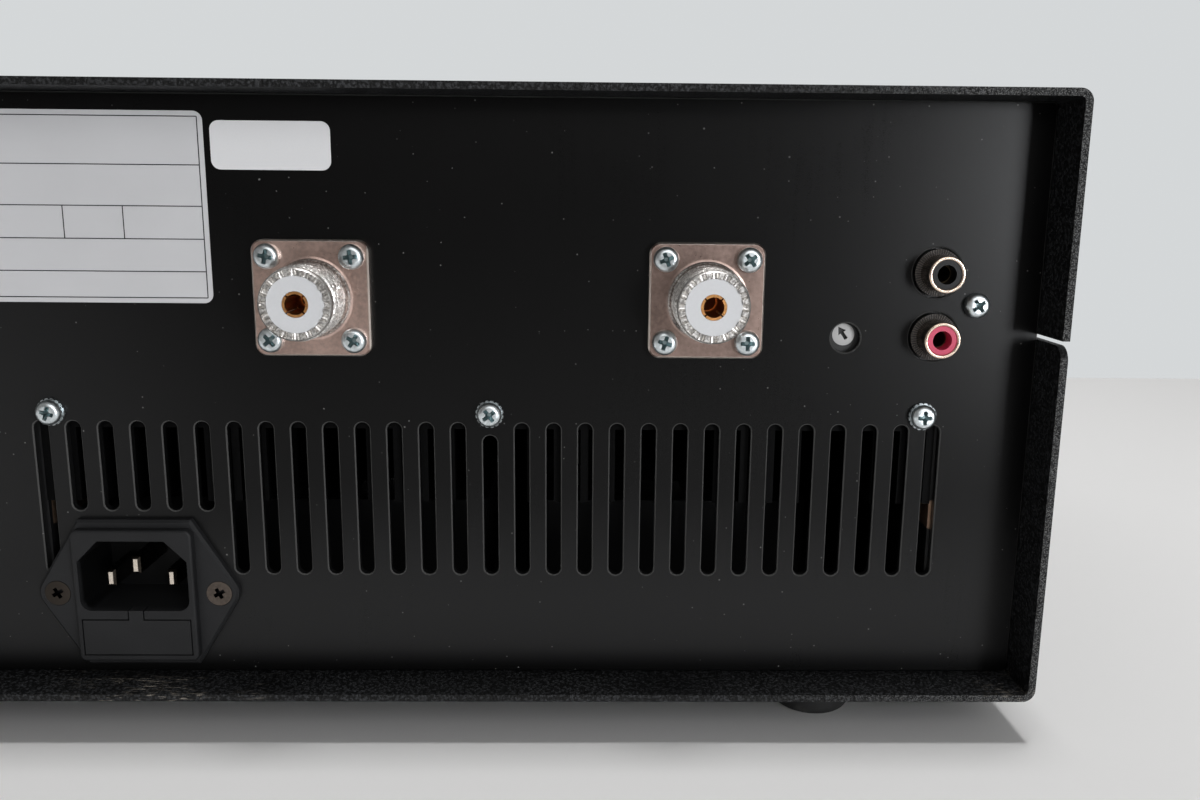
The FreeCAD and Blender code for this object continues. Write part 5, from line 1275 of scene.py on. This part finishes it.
class AMPLIFIER_OT_meters(DressOperator, bpy.types.Operator):
    """Cream dials with an arc, ticks, figures and an upper range, needles, cases and windows"""

    bl_idname = "amplifier.meters"
    bl_label = "Meters"

    def execute(self, context):
        look = context.scene.amp_meters
        pale("dial_card", look.card, 0.5 * MM, 3.0, (0.95, 1.05), (0.55, 0.7), 0.008 * MM,
             slow=24 * MM).dress("meter_dials")
        moulded("meter_plastic", (0.012, 0.012, 0.013), 0.3).dress("meter_cases")
        self.window()
        needle = moulded("needle_paint", look.ink, 0.38).dress("power_needle", "swr_needle")
        warning = moulded("scale_red", look.warning, 0.5)
        dial_y = box_of("meter_dials")[0][1]
        half = half_travel("power_pointer_swing")
        even = [(str(n), (0.4 * n - 1) * half) for n in range(6)]
        ratio = [("1", -half), ("1.5", -22), ("2", -4), ("3", 17), ("5", 34)]
        for name, figures, minor, upper in (
                ("power", even, np.linspace(-half, half, 26), 27),
                ("swr", ratio, (-38, -31, -15, -10, 3, 10, 25, 40, half), 17)):
            x, _, z = JOINTS[f"{name}_pointer_swing"]["pos_m"]
            self.scale(look, name, half, figures, minor, upper, (x, dial_y, z), needle, warning)
        return {"FINISHED"}

    def scale(self, look, name, half, figures, minor, upper, pivot, ink, warning):
        """One dial's print about its pivot: a thin arc to half its sweep on both sides, short and
        long ticks that stand on it, figures above the long ticks, and a wider arc below it for
        the upper range."""
        r = look.radius
        bands = [arc_band(r, look.line, -half, half, 61)]
        bands += spokes(r, r + look.tick, 1.3 * look.line, [degrees for _, degrees in figures])
        bands += spokes(r, r + 0.55 * look.tick, look.line, minor)
        printed(f"{name}_scale", bands, pivot, 0.03 * MM, ink, "case")
        arc = arc_band(r - look.upper_drop, look.upper_width, upper, half, 21)
        printed(f"{name}_upper_range", [arc], pivot, 0.03 * MM, warning, "case")
        words = round_dial(figures, look.figure, r + look.tick + 0.8 * look.figure,
                           (pivot[0], pivot[1] - 0.01 * MM, pivot[2]))
        lettering(f"{name}_figures", words, ink, "case")

    def window(self):
        """Clear acrylic with faint wipe marks in its gloss."""
        pane = Finish("meter_window", (0.9, 0.92, 0.93), 0.03, alpha=0.08)
        wiped = pane.clouds(6 * MM, 3.0, pane.stretched(3))
        pane.set(roughness=wiped.scaled(0.02, 0.09)).bump(wiped, 0.01 * MM).dress("meter_lenses")


class AMPLIFIER_OT_band_selector(DressOperator, bpy.types.Operator):
    """Fluted knob with a white pointer line, its shaft and switch, and numbered positions"""

    bl_idname = "amplifier.band_selector"
    bl_label = "Band selector"

    def execute(self, context):
        look = context.scene.amp_front
        moulded("knob_plastic", look.knob, 0.4, 0.3 * MM, 0.015 * MM).dress("band_knob")
        metal = plated("switch_metal", (0.55, 0.54, 0.52), 0.28, 1.4 * MM)
        metal.dress("band_switch", "band_shaft")
        ink = moulded("front_print", look.print_colour, 0.5)
        x, _, z = JOINTS["band_selector_turn"]["pos_m"]
        half = half_travel("band_selector_turn")
        angles = np.linspace(-half, half, look.steps)
        printed("band_ticks", spokes(look.tick_start, look.tick_end, look.tick, angles),
                (x, FASCIA_Y, z), 0.04 * MM, ink, "case")
        figures = [(str(place + 1), degrees) for place, degrees in enumerate(angles)]
        words = round_dial(figures, look.figure, look.figure_radius, (x, FASCIA_Y - 0.02 * MM, z))
        lettering("band_figures", words, ink, "case")
        line = spokes(look.knob_line_start, look.knob_line_end, look.knob_line, [-half])
        front = box_of("band_knob")[0][1] + look.knob_dish
        printed("knob_pointer_line", line, (x, front, z), 0.15 * MM, ink, "band_selector")
        return {"FINISHED"}


class AMPLIFIER_OT_controls(DressOperator, bpy.types.Operator):
    """Rocker with its on and off marks, push buttons, and lamps with coloured domes"""

    bl_idname = "amplifier.controls"
    bl_label = "Rocker, buttons and lamps"

    def execute(self, context):
        look = context.scene.amp_front
        moulded("rocker_plastic", lighter(look.knob, 0.95), 0.36).dress("rocker_frame")
        red = moulded("rocker_red", (0.33, 0.014, 0.012), 0.3, 0.25 * MM, 0.008 * MM)
        red.dress("power_rocker")
        buttons = moulded("button_plastic", (0.17, 0.175, 0.18), 0.42)
        buttons.dress("button_1", "button_2", "button_3")
        ink = moulded("control_print", look.print_colour, 0.5)
        self.rocker_marks(look, ink)
        self.button_marks(look, ink)
        self.lamps(look)
        return {"FINISHED"}

    def rocker_marks(self, look, ink):
        """I on the upper face and O on the lower one. Each face slopes by the rocker's dip over
        half its height, and the whole rocker leans by half its travel about its pin."""
        dip, half = look.rocker_dip, look.rocker_half
        lean = math.radians(half_travel("power_switch_rock"))
        rest = (Matrix.Translation(JOINTS["power_switch_rock"]["pos_m"])
                @ Matrix.Rotation(lean, 4, "X"))
        slope = math.atan2(dip, half)
        words = []
        for text, side in (("I", 1), ("O", -1)):
            up = side * 0.55 * half
            out = -(look.rocker_tip - dip) - dip * abs(up) / half - 0.01 * MM
            face = (Matrix.Translation((0, out, up)) @ Matrix.Rotation(side * slope, 4, "X")
                    @ Matrix.Rotation(math.radians(90), 4, "X"))
            words.append((text, look.rocker_mark, rest @ face))
        lettering("rocker_marks", words, ink, "power_switch")

    def button_marks(self, look, ink):
        """A figure below each button."""
        words = []
        for place in (1, 2, 3):
            button = f"button_{place}"
            foot = box_of(button)[0][2]
            words.append((str(place), look.button_figure,
                          facing_front(middle_of(button)[0], FASCIA_Y - 0.02 * MM,
                                       foot - look.button_drop)))
        lettering("button_figures", words, ink, "case")

    def lamps(self, look):
        """Domes that are green, amber and red from low X to high X."""
        low, high = box_of("indicator_lamps")
        lamp = Finish("lamp_plastic", (0.1, 0.5, 0.1), 0.2)
        pitch = (high[0] - low[0] - look.lamp_width) / 2
        steps = (lamp.axis("X") - (low[0] + look.lamp_width / 2)) * (1 / pitch)
        amber = lamp.mix(steps.ramp(0.5, 0.51), (0.03, 0.32, 0.05), (0.55, 0.23, 0.02))
        dome = lamp.mix(steps.ramp(1.5, 1.51), amber, (0.50, 0.02, 0.015))
        haze = lamp.clouds(1.2 * MM)
        lamp.set(colour=lamp.mix(haze * 0.3, dome, (0.7, 0.7, 0.68)),
                 roughness=haze.scaled(0.12, 0.3))
        lamp.bump(haze, 0.01 * MM).dress("indicator_lamps")


OPERATORS = (
    AMPLIFIER_OT_stage,
    AMPLIFIER_OT_covers,
    AMPLIFIER_OT_rear_panel,
    AMPLIFIER_OT_labels,
    AMPLIFIER_OT_fasteners,
    AMPLIFIER_OT_rf_sockets,
    AMPLIFIER_OT_phono_sockets,
    AMPLIFIER_OT_mains_inlet,
    AMPLIFIER_OT_feet,
    AMPLIFIER_OT_heatsink,
    AMPLIFIER_OT_fans,
    AMPLIFIER_OT_boards,
    AMPLIFIER_OT_power_supply,
    AMPLIFIER_OT_front_panel,
    AMPLIFIER_OT_meters,
    AMPLIFIER_OT_band_selector,
    AMPLIFIER_OT_controls,
)

SETTINGS = {
    "amp_stage": StageLook,
    "amp_case": CaseLook,
    "amp_labels": LabelLook,
    "amp_connectors": ConnectorLook,
    "amp_inside": InsideLook,
    "amp_meters": MeterLook,
    "amp_front": FrontLook,
}


class AMPLIFIER_PT_sidebar(bpy.types.Panel):
    """Lists the operators and the settings they read"""

    bl_idname = "AMPLIFIER_PT_sidebar"
    bl_label = "Amplifier"
    bl_space_type = "VIEW_3D"
    bl_region_type = "UI"
    bl_category = "Amplifier"

    def draw(self, context):
        for operator in OPERATORS:
            self.layout.operator(operator.bl_idname)
        for key, group in SETTINGS.items():
            box = self.layout.box()
            box.label(text=group.__doc__)
            for name in group.__annotations__:
                box.prop(getattr(context.scene, key), name)


CLASSES = (*SETTINGS.values(), *OPERATORS, AMPLIFIER_PT_sidebar)


def register():
    for cls in CLASSES:
        bpy.utils.register_class(cls)
    for key, group in SETTINGS.items():
        setattr(bpy.types.Scene, key, bpy.props.PointerProperty(type=group))


def unregister():
    for key in SETTINGS:
        delattr(bpy.types.Scene, key)
    for cls in reversed(CLASSES):
        bpy.utils.unregister_class(cls)


def main():
    """Registers the classes and dresses every part."""
    register()
    for operator in OPERATORS:
        group, name = operator.bl_idname.split(".")
        getattr(getattr(bpy.ops, group), name)()


if __name__ == "__main__":
    main()
